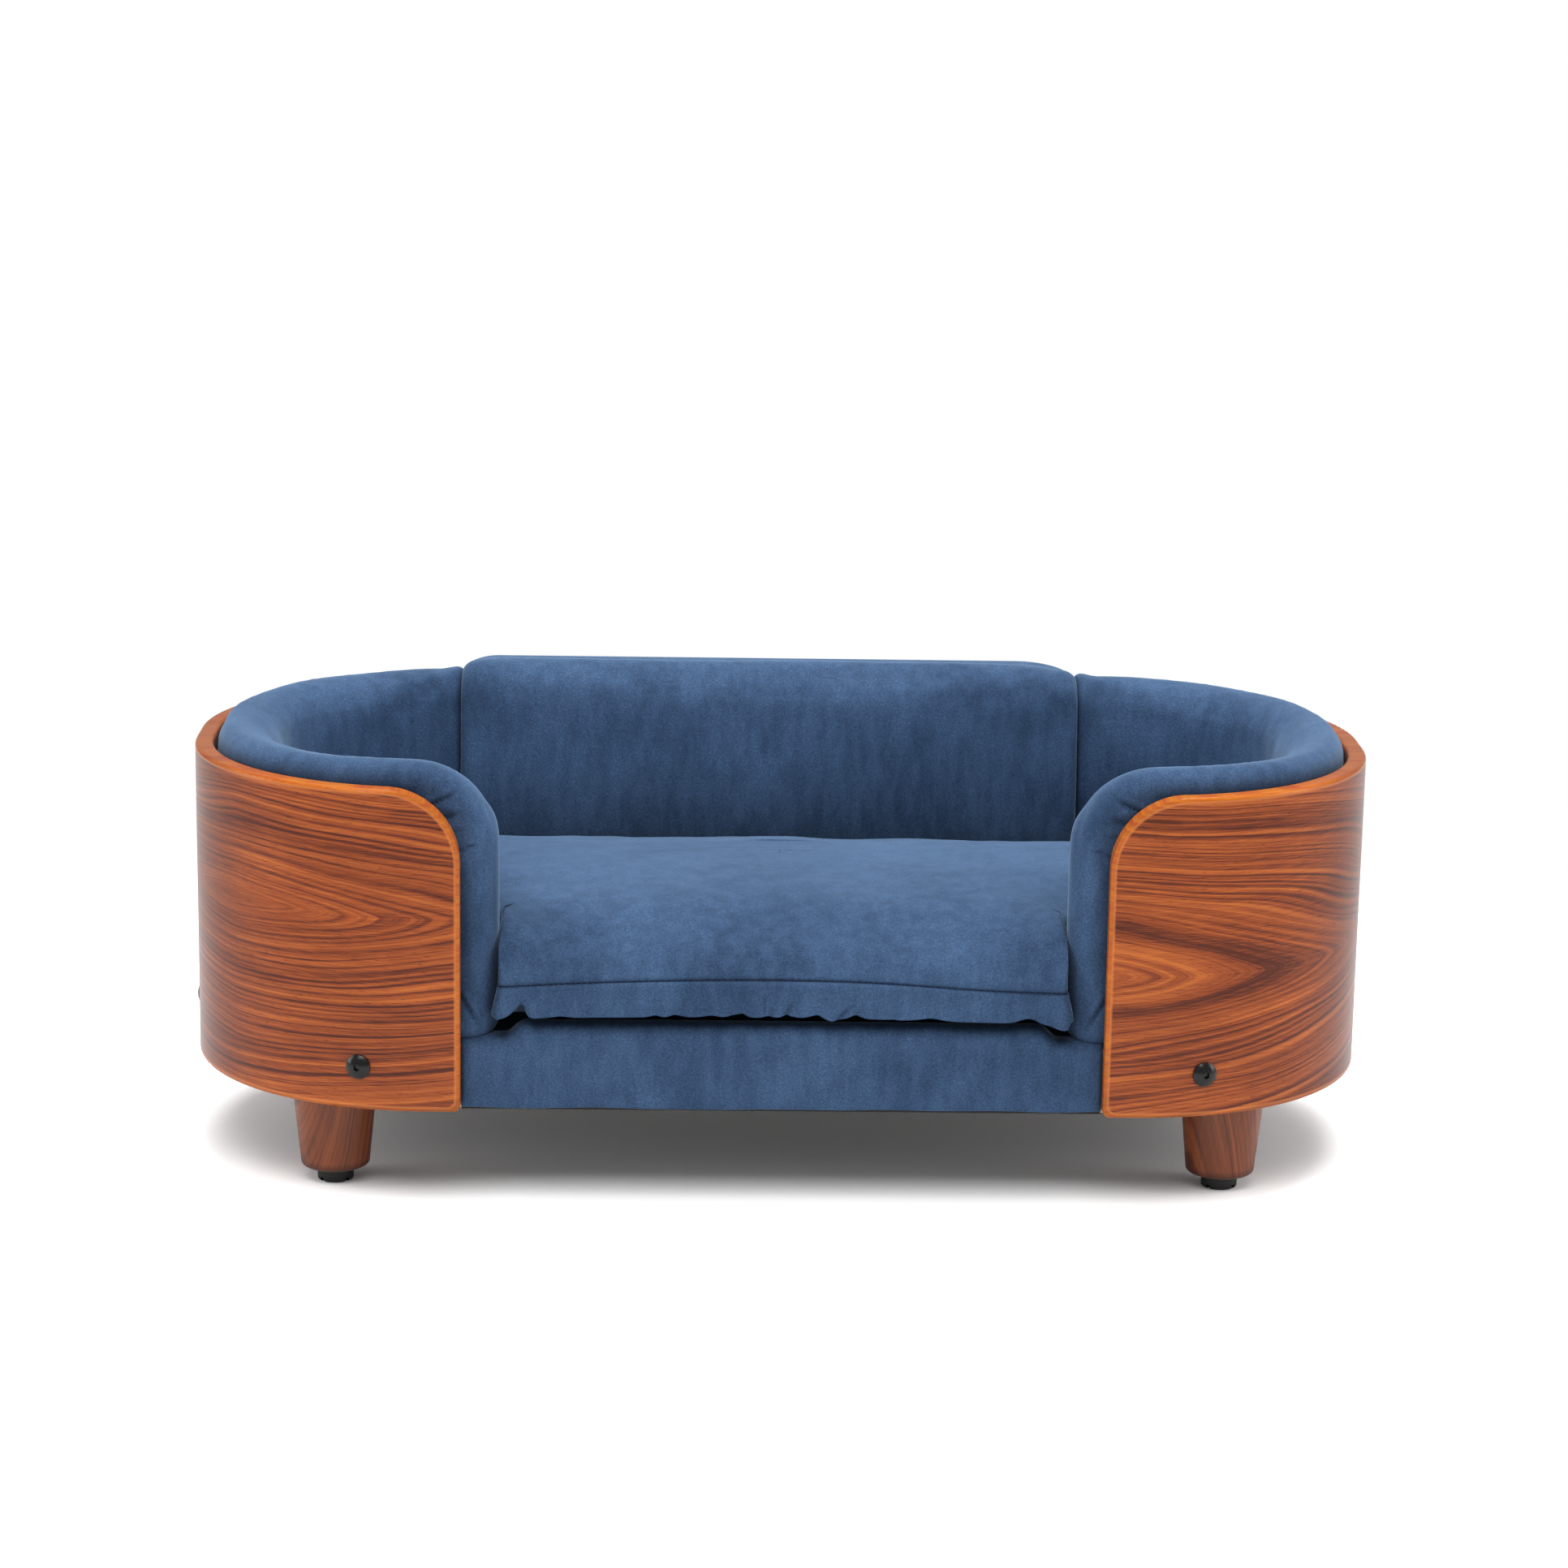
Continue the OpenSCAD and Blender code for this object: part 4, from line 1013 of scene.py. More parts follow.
@dataclass
class SeatCushion:
    """The loose cushion: a crowned top that rolls down to a sewn seam over a gathered border."""

    plan: Plan
    seat_h: float = 77 * MM
    crown: float = 6 * MM
    seam_h: float = 36 * MM
    seam_arch: float = 6 * MM
    seam_dip: float = 1.9 * MM
    hem_h: float = 16.2 * MM
    hem_arch: float = 1.4 * MM
    slant: float = 0.55
    roll_w: float = 47 * MM
    side_roll_w: float = 9 * MM
    lean: float = 4.2 * MM
    pad_inset: float = 54 * MM
    pad_gap: float = 0.4 * MM
    nose_l: float = 23 * MM
    neighbour_gap: float = 0.1 * MM
    corner_r: float = 4 * MM
    inner_share: float = 0.34
    underside_share: float = 0.86
    gap: float = 5 * MM
    front_gap: float = 1.7 * MM
    stitch_pitch: float = 3.5 * MM
    held_foot: tuple[float, float] = (0.0, 5 * MM)
    held_seam_w: float = 7 * MM
    held_side: tuple[float, float] = (-34 * MM, 6 * MM)
    held_rear: tuple[float, float] = (-30 * MM, -2 * MM)
    held_wall: tuple[float, float] = (62 * MM, 86 * MM)
    top_wave: Unevenness = Unevenness(0.9, 95, 31)
    fine_wave: Unevenness = Unevenness(0.28, 26, 33)
    band_wave: Unevenness = Unevenness(0.45, 20, 35, (1, 1, 0.5))
    creases: Sequence[Crease] = field(default_factory=lambda: (
        Crease((-12.1 * MM, 138 * MM), (-12.6 * MM, 123 * MM), 1.7 * MM, 1.3 * MM),
        Crease((0.5 * MM, 124 * MM), (8.5 * MM, 140 * MM), 1.9 * MM, 1.3 * MM),
        Crease((31 * MM, 122 * MM), (47 * MM, 137 * MM), 2.2 * MM, 1.5 * MM),
        Crease((-30 * MM, 123 * MM), (-36 * MM, 134 * MM), 1.0 * MM, 1.6 * MM),
        Crease((66 * MM, 122 * MM), (74 * MM, 133 * MM), 0.9 * MM, 1.8 * MM),
        Crease((149 * MM, 121 * MM), (168 * MM, 130 * MM), 1.9 * MM, 1.4 * MM),
        Crease((-157 * MM, 122 * MM), (-166 * MM, 136 * MM), 1.5 * MM, 1.6 * MM)))
    folds: Sequence[HemFold] = field(default_factory=lambda: (
        HemFold(-163, 8, 7, 2.2, 3.5),
        HemFold(-140, 1.1, 6, 6),
        HemFold(-81, 1.2, 4, 3, 0.6),
        HemFold(-69, 1.5, 4, 5, 0.8),
        HemFold(-46, 1.2, 7, 4, 0.5),
        HemFold(-27, 2.4, 7, 3, 1.2),
        HemFold(-11, 0.6, 3, 3, 2.2),
        HemFold(1, 1.3, 4, 5, 1.8),
        HemFold(20, 1.8, 6, 3, 1.0),
        HemFold(29, -1.8, 4, 5, -1.2),
        HemFold(44, 2.0, 5, 4, 2.2),
        HemFold(91, 1.5, 9, 8, 0.6),
        HemFold(153, 2.6, 8, 6, 2.0),
        HemFold(-184, -2.5, 9, 6, -0.5),
        HemFold(176, -4.5, 9, 6, 0.4)))

    def __post_init__(self) -> None:
        """Reads the cushion's level and depth from its node."""
        low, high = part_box("seat_cover")
        self.low, self.front_y, self.rear_y = low.z, low.y, high.y
        pad_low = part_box("arm_pad_right")[0]
        self.front_x = pad_low.x - self.neighbour_gap
        self.half_x = self.plan.half_w - self.pad_inset - self.neighbour_gap

    def outline(self) -> np.ndarray:
        """The cushion's outline, counter-clockwise from the middle of its front edge.

        Returns:
            Places across and along, one a row.
        """
        plan, gap = self.plan, self.gap
        radius = plan.radius - self.pad_inset - self.neighbour_gap
        pad_out = plan.ply_t + self.pad_gap
        nose_half = (self.pad_inset - pad_out) / 2
        nose = (self.front_x + self.neighbour_gap + self.nose_l, -(plan.half_d - pad_out - nose_half))
        half = [(0.0, self.front_y)]
        half += line_points(half[0], (self.front_x - self.corner_r, self.front_y), self.front_gap)
        corner = (self.front_x - self.corner_r, self.front_y + self.corner_r)
        half += arc_points(corner, self.corner_r, -90, 0, 6)
        reach = (self.nose_l + self.neighbour_gap, nose_half + self.neighbour_gap)
        angles = np.radians(np.linspace(180, 90, 9))
        hollow = [(nose[0] + reach[0] * math.cos(a), nose[1] + reach[1] * math.sin(a)) for a in angles]
        half += line_points(half[-1], hollow[0], gap) + hollow
        rear_end = math.degrees(math.asin((self.rear_y - plan.arc_y) / radius))
        bend = round(radius * math.pi / 2 / gap)
        half += line_points(half[-1], (plan.arc_x, -plan.arc_y - radius), gap)
        half += arc_points((plan.arc_x, -plan.arc_y), radius, -90, 0, bend)
        half += arc_points((plan.arc_x, plan.arc_y), radius, 0, rear_end, round(bend * rear_end / 90))
        half += line_points(half[-1], (0, self.rear_y), gap) + [(0.0, self.rear_y)]
        right = np.array(half)
        left = right[::-1][1:-1] * np.array((-1, 1))
        return np.vstack([right, left])

    def seam_level(self, points: np.ndarray) -> np.ndarray:
        """Height of the seam over the cushion's underside; it arches up in the middle of the front.

        Args:
            points: Places on the outline, one a row.

        Returns:
            A height for each place.
        """
        x, y = points[:, 0], points[:, 1]
        front = np.clip(y / self.front_y, 0, 1) * (np.abs(x) < self.front_x)
        arch = self.seam_arch * (1 - (x / self.front_x) ** 2) * front
        right_dip = -2.2 * MM * bell(x, 0.72 * self.front_x, 60 * MM) * front
        return self.seam_h + arch + right_dip

    def side_rings(self, level: np.ndarray) -> list[tuple]:
        """The side's insets and heights: the edge turns under sharply and the border stands up.

        Args:
            level: Height of the seam at each place of the outline.

        Returns:
            Pairs of an inset and of heights, from the underside up to just over the seam.
        """
        hem = self.hem_h + self.hem_arch * (level - self.seam_h) / self.seam_arch
        under = ((46, -16.2), (43, -13), (39, -8), (34, -3.6), (27, -1.6), (18, -0.8), (9, -0.4), (5, -0.2),
                 (2.6, -0.1), (1.1, 0.2), (0.2, 0.8), (-0.5, 1.9), (-0.9, 3.4))
        foot, rise_end = -under[0][1], under[-1][1]
        made = [(inset * MM, hem * min(1, (rise + foot) / foot) + max(rise, 0) * MM) for inset, rise in under]
        start, end = hem + rise_end * MM, level - 0.9 * MM
        band = ((-1.0, 0.1), (-1.1, 0.2), (-1.2, 0.3), (-1.25, 0.4), (-1.3, 0.5), (-1.3, 0.6), (-1.25, 0.7),
                (-1.2, 0.8), (-1.1, 0.9), (-0.75, 1.0))
        made += [(inset * MM, start + (end - start) * share) for inset, share in band]
        made += [(0.0, level - 0.4 * MM), (self.seam_dip, level), (0.75 * MM, level + 0.5 * MM)]
        return made

    def moved_in(self, outline: np.ndarray, normal: np.ndarray, loose: np.ndarray, side: float,
                 back: float) -> np.ndarray:
        """The outline drawn in from the sides and pushed back from the front.

        Args:
            outline: The outline.
            normal: Its outward directions.
            loose: How far the sides are free to draw in, 0 beside the noses and 1 at the rear.
            side: How far the free sides draw in.
            back: How far the front edge moves back.

        Returns:
            The new outline.
        """
        least = 0.06
        straight = np.abs(normal[:, :1]) <= 0.02
        flat = outline - normal * (side * (least + (1 - least) * loose))[:, None] * ~straight
        flat -= normal * (side * loose)[:, None] * straight
        flat[:, 1] = smooth_max(flat[:, 1], self.front_y + back, 0.04 * back + 1e-6)
        return flat

    def rings(self) -> np.ndarray:
        """All rings, from the middle of the underside out, up the side and over the top.

        Returns:
            Rings by points by three.
        """
        outline = self.outline()
        normal = outward_of(outline)
        level = self.seam_level(outline)
        middle = np.array((0, self.rear_y / 4))
        sides = self.side_rings(level)
        front = step(-outline[:, 1], -self.front_y - 9 * MM, -self.front_y - 2 * MM)
        loose = step(outline[:, 1], -120 * MM, -40 * MM)
        bottom = self.moved_in(outline, normal, loose, 8 * MM, sides[0][0])
        made = [at_level(middle + (bottom - middle) * share, self.low)
                for share in (0.08, 0.2, 0.35, 0.5, 0.65, 0.8, 0.92)]
        for inset, z in sides:
            if inset > 4 * MM:
                flat = self.moved_in(outline, normal, loose, min(inset, 8 * MM), inset)
                made.append(at_level(flat, self.low + z))
                continue
            out = self.lean * front * step(level - z, 1 * MM, self.seam_h - self.hem_h) * (inset < 0.5 * MM)
            made.append(at_level(outline - normal * (inset - out)[:, None], self.low + z))
        rise = self.seat_h - level
        for turn in np.radians((3.5, 7, 12, 18, 25, 32, 39, 46, 53, 60, 67, 74, 82, 90)):
            roll = 1 - math.cos(turn)
            flat = self.moved_in(outline, normal, loose, self.side_roll_w * roll, self.roll_w * roll)
            made.append(at_level(flat, self.low + level + rise * math.sin(turn)))
        run = np.linalg.norm(np.roll(outline, -1, 0) - outline, axis=1)
        around = (np.concatenate([[0], np.cumsum(run)[:-1]]) / run.sum() - 0.25) * 2 * math.pi
        size = self.inner_share * np.array((self.half_x, (self.rear_y - self.front_y) / 2))
        inner = middle + size * np.column_stack([np.cos(around), np.sin(around)])
        for share in np.linspace(0, 1, 15)[1:]:
            z = self.low + self.seat_h + self.crown * share * (2 - share)
            made.append(at_level(flat + (inner - flat) * share, z))
        top = self.low + self.seat_h + self.crown
        for share in (0.8, 0.6, 0.42):
            made.append(at_level(middle + (inner - middle) * share, top))
        return np.array(made)

    def held(self, points: np.ndarray) -> np.ndarray:
        """The cushion is held at its underside and along the seam.

        Args:
            points: Places, one a row.

        Returns:
            From 0, free, to 1, held.
        """
        foot = 1 - step_from(points[:, 2], self.low + self.hem_h, self.held_foot)
        seam = bell(points[:, 2] - self.low, self.seam_h + self.seam_arch / 2, self.held_seam_w)
        side = step_from(np.abs(points[:, 0]), self.front_x, self.held_side)
        rear = step_from(points[:, 1], self.rear_y, self.held_rear)
        walls = np.maximum(side, rear) * (1 - step_from(points[:, 2], self.low, self.held_wall))
        return np.clip(np.maximum(np.maximum(foot, seam), walls), 0, 1)

    def fold(self, piece: bpy.types.Object) -> None:
        """Adds the gathers of the border, its wavy lower edge and the unevenness of the top.

        Args:
            piece: The piece.
        """
        points = coordinates(piece.data)
        outward = normals_of(piece.data)
        up = points[:, 2] - self.low
        front = step_from(-points[:, 1], -self.front_y, (-30 * MM, -6 * MM))
        front = front * (np.abs(points[:, 0]) < self.front_x + 1 * MM)
        front = front * (1 - step_from(points[:, 1], self.front_y, (9 * MM, 16 * MM)))
        hem = step(up, self.hem_h - 4 * MM, self.hem_h - 1.5 * MM) * front
        hem = hem * (1 - step(up, self.hem_h + 1 * MM, self.seam_h - 3 * MM))
        along = points[:, 0] - self.slant * (up - self.hem_h)
        lift = sum(f.lift * MM * f.share(along) for f in self.folds)
        push = sum(f.push * MM * f.share(along) for f in self.folds)
        points[:, 2] += hem * lift
        points[:, 1] += hem * push
        face = step(up, self.hem_h - 1 * MM, self.hem_h + 2 * MM)
        face = face * (1 - step(up, self.seam_h - 5 * MM, self.seam_h))
        for crease in self.creases:
            points[:, 1] -= face * front * crease.offset(points[:, 0], points[:, 2])
        top = step(up, self.seam_h + 6 * MM, self.seat_h - 10 * MM)
        above = step(up, self.seam_h + 3 * MM, self.seam_h + 14 * MM)
        band = step(up, self.hem_h, self.hem_h + 5 * MM)
        band = band * (1 - step(up, self.seam_h - 6 * MM, self.seam_h - 1 * MM))
        move = top * self.top_wave.over(points) + above * self.fine_wave.over(points)
        move += band * self.band_wave.over(points)
        set_coordinates(piece.data, points + outward * move[:, None])

    def seam_path(self) -> bpy.types.Object:
        """The line of the seam as loose edges, a little inside the groove."""
        outline = self.outline()
        flat = outline - outward_of(outline) * (self.seam_dip - 0.75 * MM)
        return closed_path("seam_path", at_level(flat, self.low + self.seam_level(outline)))

    def build(self, material: bpy.types.Material, thread: bpy.types.Material,
              underside: bpy.types.Material) -> bpy.types.Object:
        """Makes the cushion, its underside panel and the stitches of its seam.

        Args:
            material: The cloth.
            thread: The sewing thread.
            underside: The panel under the cushion.

        Returns:
            The finished cushion.
        """
        piece = loft("seat_cushion_cloth", self.rings())
        Filling(cap=6 * MM, sink=2.5 * MM).swell(piece, self.held)
        self.fold(piece)
        finish_piece(piece, material, CUSHION, ["seat_cover", "seat_foam"])
        row = BarRow(pitch=self.stitch_pitch, length=2.3 * MM, radius=0.32 * MM)
        stitches = row.along(self.seam_path(), "seat_seam_stitches", thread)
        finish_piece(stitches, thread, CUSHION)
        self.underside(underside)
        return piece

    def underside(self, material: bpy.types.Material) -> None:
        """Makes the thin cloth panel that closes the cushion from below.

        Args:
            material: The panel's cloth.
        """
        outline = self.outline()
        middle = np.array((0, (self.front_y + self.rear_y) / 2))
        edge = middle + (outline - middle) * self.underside_share
        shares = (0.03, 0.25, 0.5, 0.75, 1)
        rings = [at_level(middle + (edge - middle) * share, self.low - 0.1 * MM) for share in shares]
        faces = [tuple(range(len(edge))), *grid_faces(len(rings), len(edge), turned=True)]
        panel = new_object("seat_underside_cloth", np.array(rings).reshape(-1, 3), faces)
        size = edge.max(0) - edge.min(0)
        finish_piece(panel, material, CUSHION, ["seat_underside"])
        stretched_sheet(panel, tuple(size))


@dataclass
class BarRow:
    """Small round-ended bars in a row along a line, such as stitches or staples."""

    pitch: float
    length: float
    radius: float

    def tree(self) -> GroupBuilder:
        """The geometry nodes that set the bars along the line.

        Returns:
            The finished group.
        """
        group = GroupBuilder("bar_row", "GeometryNodeTree", {
            "Path": "NodeSocketGeometry", "Pitch": 0.01, "Length": 0.01, "Radius": 0.001,
            "Finish": "NodeSocketMaterial"}, {"Geometry": "NodeSocketGeometry"})
        given = group.given
        curve = group.add("GeometryNodeMeshToCurve", {"Mesh": given["Path"]})
        even = group.add("GeometryNodeResampleCurve", {"Curve": curve.outputs[0], "Length": given["Pitch"]},
                         mode="LENGTH")
        ball = group.add("GeometryNodeMeshUVSphere", {"Segments": 6, "Rings": 4, "Radius": 1.0})
        size = group.join(group.times(given["Length"], 0.5), given["Radius"], given["Radius"])
        bar = group.add("GeometryNodeTransform", {"Geometry": ball.outputs[0], "Scale": size})
        tangent = group.add("GeometryNodeInputTangent").outputs[0]
        turn = group.add("FunctionNodeAlignRotationToVector", {"Vector": tangent}, axis="X")
        placed = group.add("GeometryNodeInstanceOnPoints", {
            "Points": even.outputs[0], "Instance": bar.outputs[0], "Rotation": turn.outputs[0]})
        real = group.add("GeometryNodeRealizeInstances", {"Geometry": placed.outputs[0]})
        finish = {"Geometry": real.outputs[0], "Material": given["Finish"]}
        dressed = group.add("GeometryNodeSetMaterial", finish)
        group.put(group.result[0], dressed.outputs[0])
        return group

    def along(self, path: bpy.types.Object, name: str, material: bpy.types.Material) -> bpy.types.Object:
        """Makes the row.

        Args:
            path: Loose edges; the object becomes the row.
            name: The row's name.
            material: What the bars are made of.

        Returns:
            The row as a plain mesh.
        """
        path.name = name
        values = {"Pitch": self.pitch, "Length": self.length, "Radius": self.radius, "Finish": material}
        return grown(path, self.tree(), values)


@dataclass
class StretchedCloth:
    """Thin cloth pulled over a frame: a patch that geometry nodes roughen and thicken."""

    name: str
    thickness: float
    ripple_h: float = 0.3 * MM
    ripple_l: float = 40 * MM

    def tree(self) -> GroupBuilder:
        """The geometry nodes: a soft unevenness along the normals, then an even thickness.

        Returns:
            The finished group.
        """
        group = GroupBuilder("stretched_cloth", "GeometryNodeTree", {
            "Patch": "NodeSocketGeometry", "Thickness": 0.001, "Ripple Height": 0.0, "Ripple Length": 0.04,
            "Seed": 1, "Finish": "NodeSocketMaterial"}, {"Geometry": "NodeSocketGeometry"})
        given = group.given
        place = group.add("GeometryNodeInputPosition").outputs[0]
        shift = group.times(given["Seed"], 3.7)
        far = group.join(shift, shift, shift)
        moved = group.add("ShaderNodeVectorMath", {0: place, 1: far}, operation="ADD")
        scale = group.math("DIVIDE", 1.0, given["Ripple Length"])
        wave = group.less(group.noise(moved.outputs[0], scale, 1.5), 0.5)
        tall = group.times(wave, given["Ripple Height"])
        normal = group.add("GeometryNodeInputNormal").outputs[0]
        offset = group.add("ShaderNodeVectorMath", {0: normal, "Scale": tall}, operation="SCALE")
        move = {"Geometry": given["Patch"], "Offset": offset.outputs[0]}
        uneven = group.add("GeometryNodeSetPosition", move)
        grow = {"Mesh": uneven.outputs[0], "Offset Scale": given["Thickness"], "Individual": False}
        thick = group.add("GeometryNodeExtrudeMesh", grow, mode="FACES")
        back = group.add("GeometryNodeFlipFaces", {"Mesh": uneven.outputs[0]})
        both = group.add("GeometryNodeJoinGeometry")
        group.tree.links.new(thick.outputs["Mesh"], both.inputs[0])
        group.tree.links.new(back.outputs[0], both.inputs[0])
        whole = group.add("GeometryNodeMergeByDistance", {"Geometry": both.outputs[0], "Distance": 0.01 * MM})
        real = group.add("GeometryNodeRealizeInstances", {"Geometry": whole.outputs[0]})
        finish = {"Geometry": real.outputs[0], "Material": given["Finish"]}
        dressed = group.add("GeometryNodeSetMaterial", finish)
        group.put(group.result[0], dressed.outputs[0])
        return group

    def over(self, rows: np.ndarray, material: bpy.types.Material, seed: int = 1) -> bpy.types.Object:
        """Makes the cloth over rows of points.

        Args:
            rows: Rows by points by three; the cloth thickens to the side where rows cross points.
            material: The cloth.
            seed: Picks the unevenness.

        Returns:
            The cloth as a plain closed mesh.
        """
        count, across, _ = rows.shape
        mesh = bpy.data.meshes.new(self.name)
        faces = grid_faces(count, across, closed=False, turned=True)
        mesh.from_pydata([tuple(p) for p in rows.reshape(-1, 3)], [], faces)
        made = linked(self.name, mesh)
        values = {"Thickness": self.thickness, "Ripple Height": self.ripple_h, "Ripple Length": self.ripple_l,
                  "Seed": seed, "Finish": material}
        return grown(made, self.tree(), values)


@dataclass
class Upholstery:
    """The thin cloths: apron, deck cloth, rear cloth and dust cover, with the staples that hold them."""

    plan: Plan
    frame_inset: float = 12.3 * MM
    lap: float = 26 * MM
    top_r: float = 9 * MM
    crest_h: float = 11.5 * MM
    end_crest_h: float = 2.6 * MM
    wave: float = 0.9 * MM
    turn_in: float = 18 * MM
    edge_strip: float = 13 * MM
    board_corner_r: float = 15 * MM
    staple_inset: float = 10 * MM

    def apron(self, material: bpy.types.Material) -> None:
        """Makes the front apron: stapled under the rail, up its face and over the deck's edge.

        Args:
            material: The cloth.
        """
        low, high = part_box("front_apron")
        xs = np.linspace(low.x - 0.4 * MM, high.x + 0.4 * MM, 161)
        bottom, top, face = low.z + 1.0 * MM, high.z + 0.3 * MM, low.y + 1.2 * MM
        fold_r, fold_h = 0.75 * MM, 0.8 * MM
        inside = face + 2 * fold_r
        profile = [(inside, z) for z in (bottom + 11 * MM, bottom + 6 * MM, bottom + 2 * MM)]
        profile += [(face + fold_r + fold_r * math.cos(a), bottom + fold_h - fold_h * math.sin(a))
                    for a in np.linspace(0.3, math.pi - 0.3, 5)]
        profile += [(face, z) for z in np.linspace(bottom + 2 * MM, top - self.top_r, 12)]
        bend = (face + self.top_r, top - self.top_r)
        profile += [(bend[0] - self.top_r * math.cos(a), bend[1] + self.top_r * math.sin(a))
                    for a in np.linspace(0.2, math.pi / 2, 8)]
        for share in np.linspace(0, 1, 9)[1:]:
            profile.append((face + self.top_r + (self.lap - self.top_r) * share, top - 0.001 * MM * share))
        rows = np.zeros((len(xs), len(profile), 3))
        spots = np.column_stack([xs, np.zeros(len(xs)), np.zeros(len(xs))])
        wave = self.wave * ripple(spots, 62 * MM, 41)
        middle = 1 - step(np.abs(xs), high.x - 40 * MM, high.x - 26 * MM)
        crest = self.end_crest_h + (self.crest_h - self.end_crest_h) * middle
        for k, (y, z) in enumerate(profile):
            near_edge = 1 - step(np.array(z), bottom, bottom + 14 * MM)
            under = step(np.array(z), top - 24 * MM, top)
            lift = under * (1 - step(np.array(y), face + 13 * MM, face + self.lap)) * crest
            rows[:, k] = np.column_stack([xs, np.full(len(xs), y), z + wave * near_edge + lift])
        cloth = StretchedCloth("front_apron_cloth", 0.9 * MM, 0.9 * MM, 30 * MM).over(rows, material, 3)
        finish_piece(cloth, material, SOFA, ["front_apron"])
        size = (high.x - low.x, self.turn_in + high.z - low.z + self.lap)
        stretched_sheet(cloth, size)

    def tape(self, material: bpy.types.Material) -> None:
        """Makes the strip of dust cloth that is turned up in front of the rail, behind the apron's edge.

        Args:
            material: The black cloth.
        """
        low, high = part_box("front_apron")
        xs = np.linspace(low.x, high.x, 81)
        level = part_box("dust_cover")[0].z
        profile = [(high.y + 4 * MM, level), (high.y + 0.4 * MM, level),
                   (high.y - 0.1 * MM, level + 0.4 * MM)]
        profile += [(high.y - 0.15 * MM, z) for z in (level + 3 * MM, level + 6 * MM, level + 9 * MM)]
        rows = np.array([[(x, y, z) for y, z in profile] for x in xs])
        cloth = StretchedCloth("dust_cover_edge", 0.35 * MM, 0.1 * MM, 30 * MM).over(rows, material, 9)
        finish_piece(cloth, material, SOFA)
        stretched_sheet(cloth, (high.x - low.x, self.edge_strip))

    def outline(self, inset: float, front_y: float) -> np.ndarray:
        """The plan's outline at an inset, as a closed ring from the middle of the front.

        Args:
            inset: How far in from the shells' outer face.
            front_y: Where the straight front runs.

        Returns:
            Places across and along, one a row.
        """
        plan = self.plan
        radius = plan.radius - inset
        half = [(0.0, front_y), *line_points((0, front_y), (plan.arc_x, front_y), 12 * MM)]
        half += arc_points((plan.arc_x, -plan.arc_y), radius, -90, 0, 26)
        half += arc_points((plan.arc_x, plan.arc_y), radius, 0, 90, 26)
        half += line_points((plan.arc_x, -front_y), (0, -front_y), 12 * MM) + [(0.0, -front_y)]
        right = resample(np.array(half), 90)
        return np.vstack([right, right[::-1][1:-1] * np.array((-1, 1))])

    def laid(self, name: str, node: str, inset: float, material: bpy.types.Material,
             upward: bool) -> None:
        """Makes a flat cloth in the shape of the plan.

        Args:
            name: The piece's name.
            node: The node that it stands for, whose level it takes.
            inset: How far in from the shells' outer face it ends.
            material: The cloth.
            upward: True for a cloth that is seen from above.
        """
        low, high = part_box(node)
        level = low.z if upward else high.z
        radius = self.plan.radius - inset
        bend = -self.plan.arc_y - radius * np.cos(np.linspace(0, math.pi / 2, 26))
        front = np.maximum(bend, low.y + 0.2 * MM)
        ys = np.unique(np.round(np.concatenate([front, -front]), 6))
        over = np.clip(np.abs(ys) - self.plan.arc_y, 0, radius)
        half_w = self.plan.arc_x + np.sqrt(radius ** 2 - over ** 2)
        across = np.linspace(1, -1, 90) * (1 if upward else -1)
        rows = np.array([[(w * share, y, level) for share in across] for y, w in zip(ys, half_w)])
        cloth = StretchedCloth(name, high.z - low.z, 0.25 * MM, 60 * MM).over(rows, material, 5)
        finish_piece(cloth, material, SOFA, [node])
        size = (2 * half_w.max(), ys[-1] - ys[0])
        stretched_sheet(cloth, size)

    def rear(self, material: bpy.types.Material) -> None:
        """Makes the cloth over the back of the back board.

        Args:
            material: The cloth.
        """
        low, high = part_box("rear_cloth")
        xs = np.linspace(low.x + 0.3 * MM, high.x - 0.3 * MM, 90)
        corner_r, y = self.board_corner_r, low.y + 0.05 * MM
        tops = high.z - corner_r * (1 - smooth_share(high.x - np.abs(xs), corner_r))
        rows = np.array([[(x, y, z) for z in np.linspace(low.z, top, 42)] for x, top in zip(xs, tops)])
        patch = StretchedCloth("rear_cloth_panel", 1.0 * MM, 0.5 * MM, 80 * MM)
        cloth = patch.over(rows[:, ::-1], material, 7)
        finish_piece(cloth, material, SOFA, ["rear_cloth"])
        stretched_sheet(cloth, (high.x - low.x, high.z - low.z))

    def staples(self, steel: bpy.types.Material) -> None:
        """Sets the staples round the dust cover's edge.

        Args:
            steel: What the staples are made of.
        """
        inset = self.frame_inset + self.staple_inset
        ring = self.outline(inset, -self.plan.half_d + inset)
        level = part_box("dust_cover")[0].z - 0.15 * MM
        path = closed_path("staple_path", at_level(ring, level))
        row = BarRow(pitch=28 * MM, length=10 * MM, radius=0.45 * MM)
        finish_piece(row.along(path, "dust_cover_staples", steel), steel, SOFA)

    def build(self, cloth: bpy.types.Material, dust: bpy.types.Material, steel: bpy.types.Material) -> None:
        """Makes every thin cloth and the staples.

        Args:
            cloth: The blue cloth.
            dust: The black dust cloth.
            steel: The staples' steel.
        """
        self.apron(cloth)
        self.tape(dust)
        self.laid("deck_cloth_sheet", "deck_cloth", self.frame_inset, cloth,
                  True)
        self.laid("dust_cover_sheet", "dust_cover", self.frame_inset + 1 * MM, dust,
                  False)
        self.rear(cloth)
        self.staples(steel)


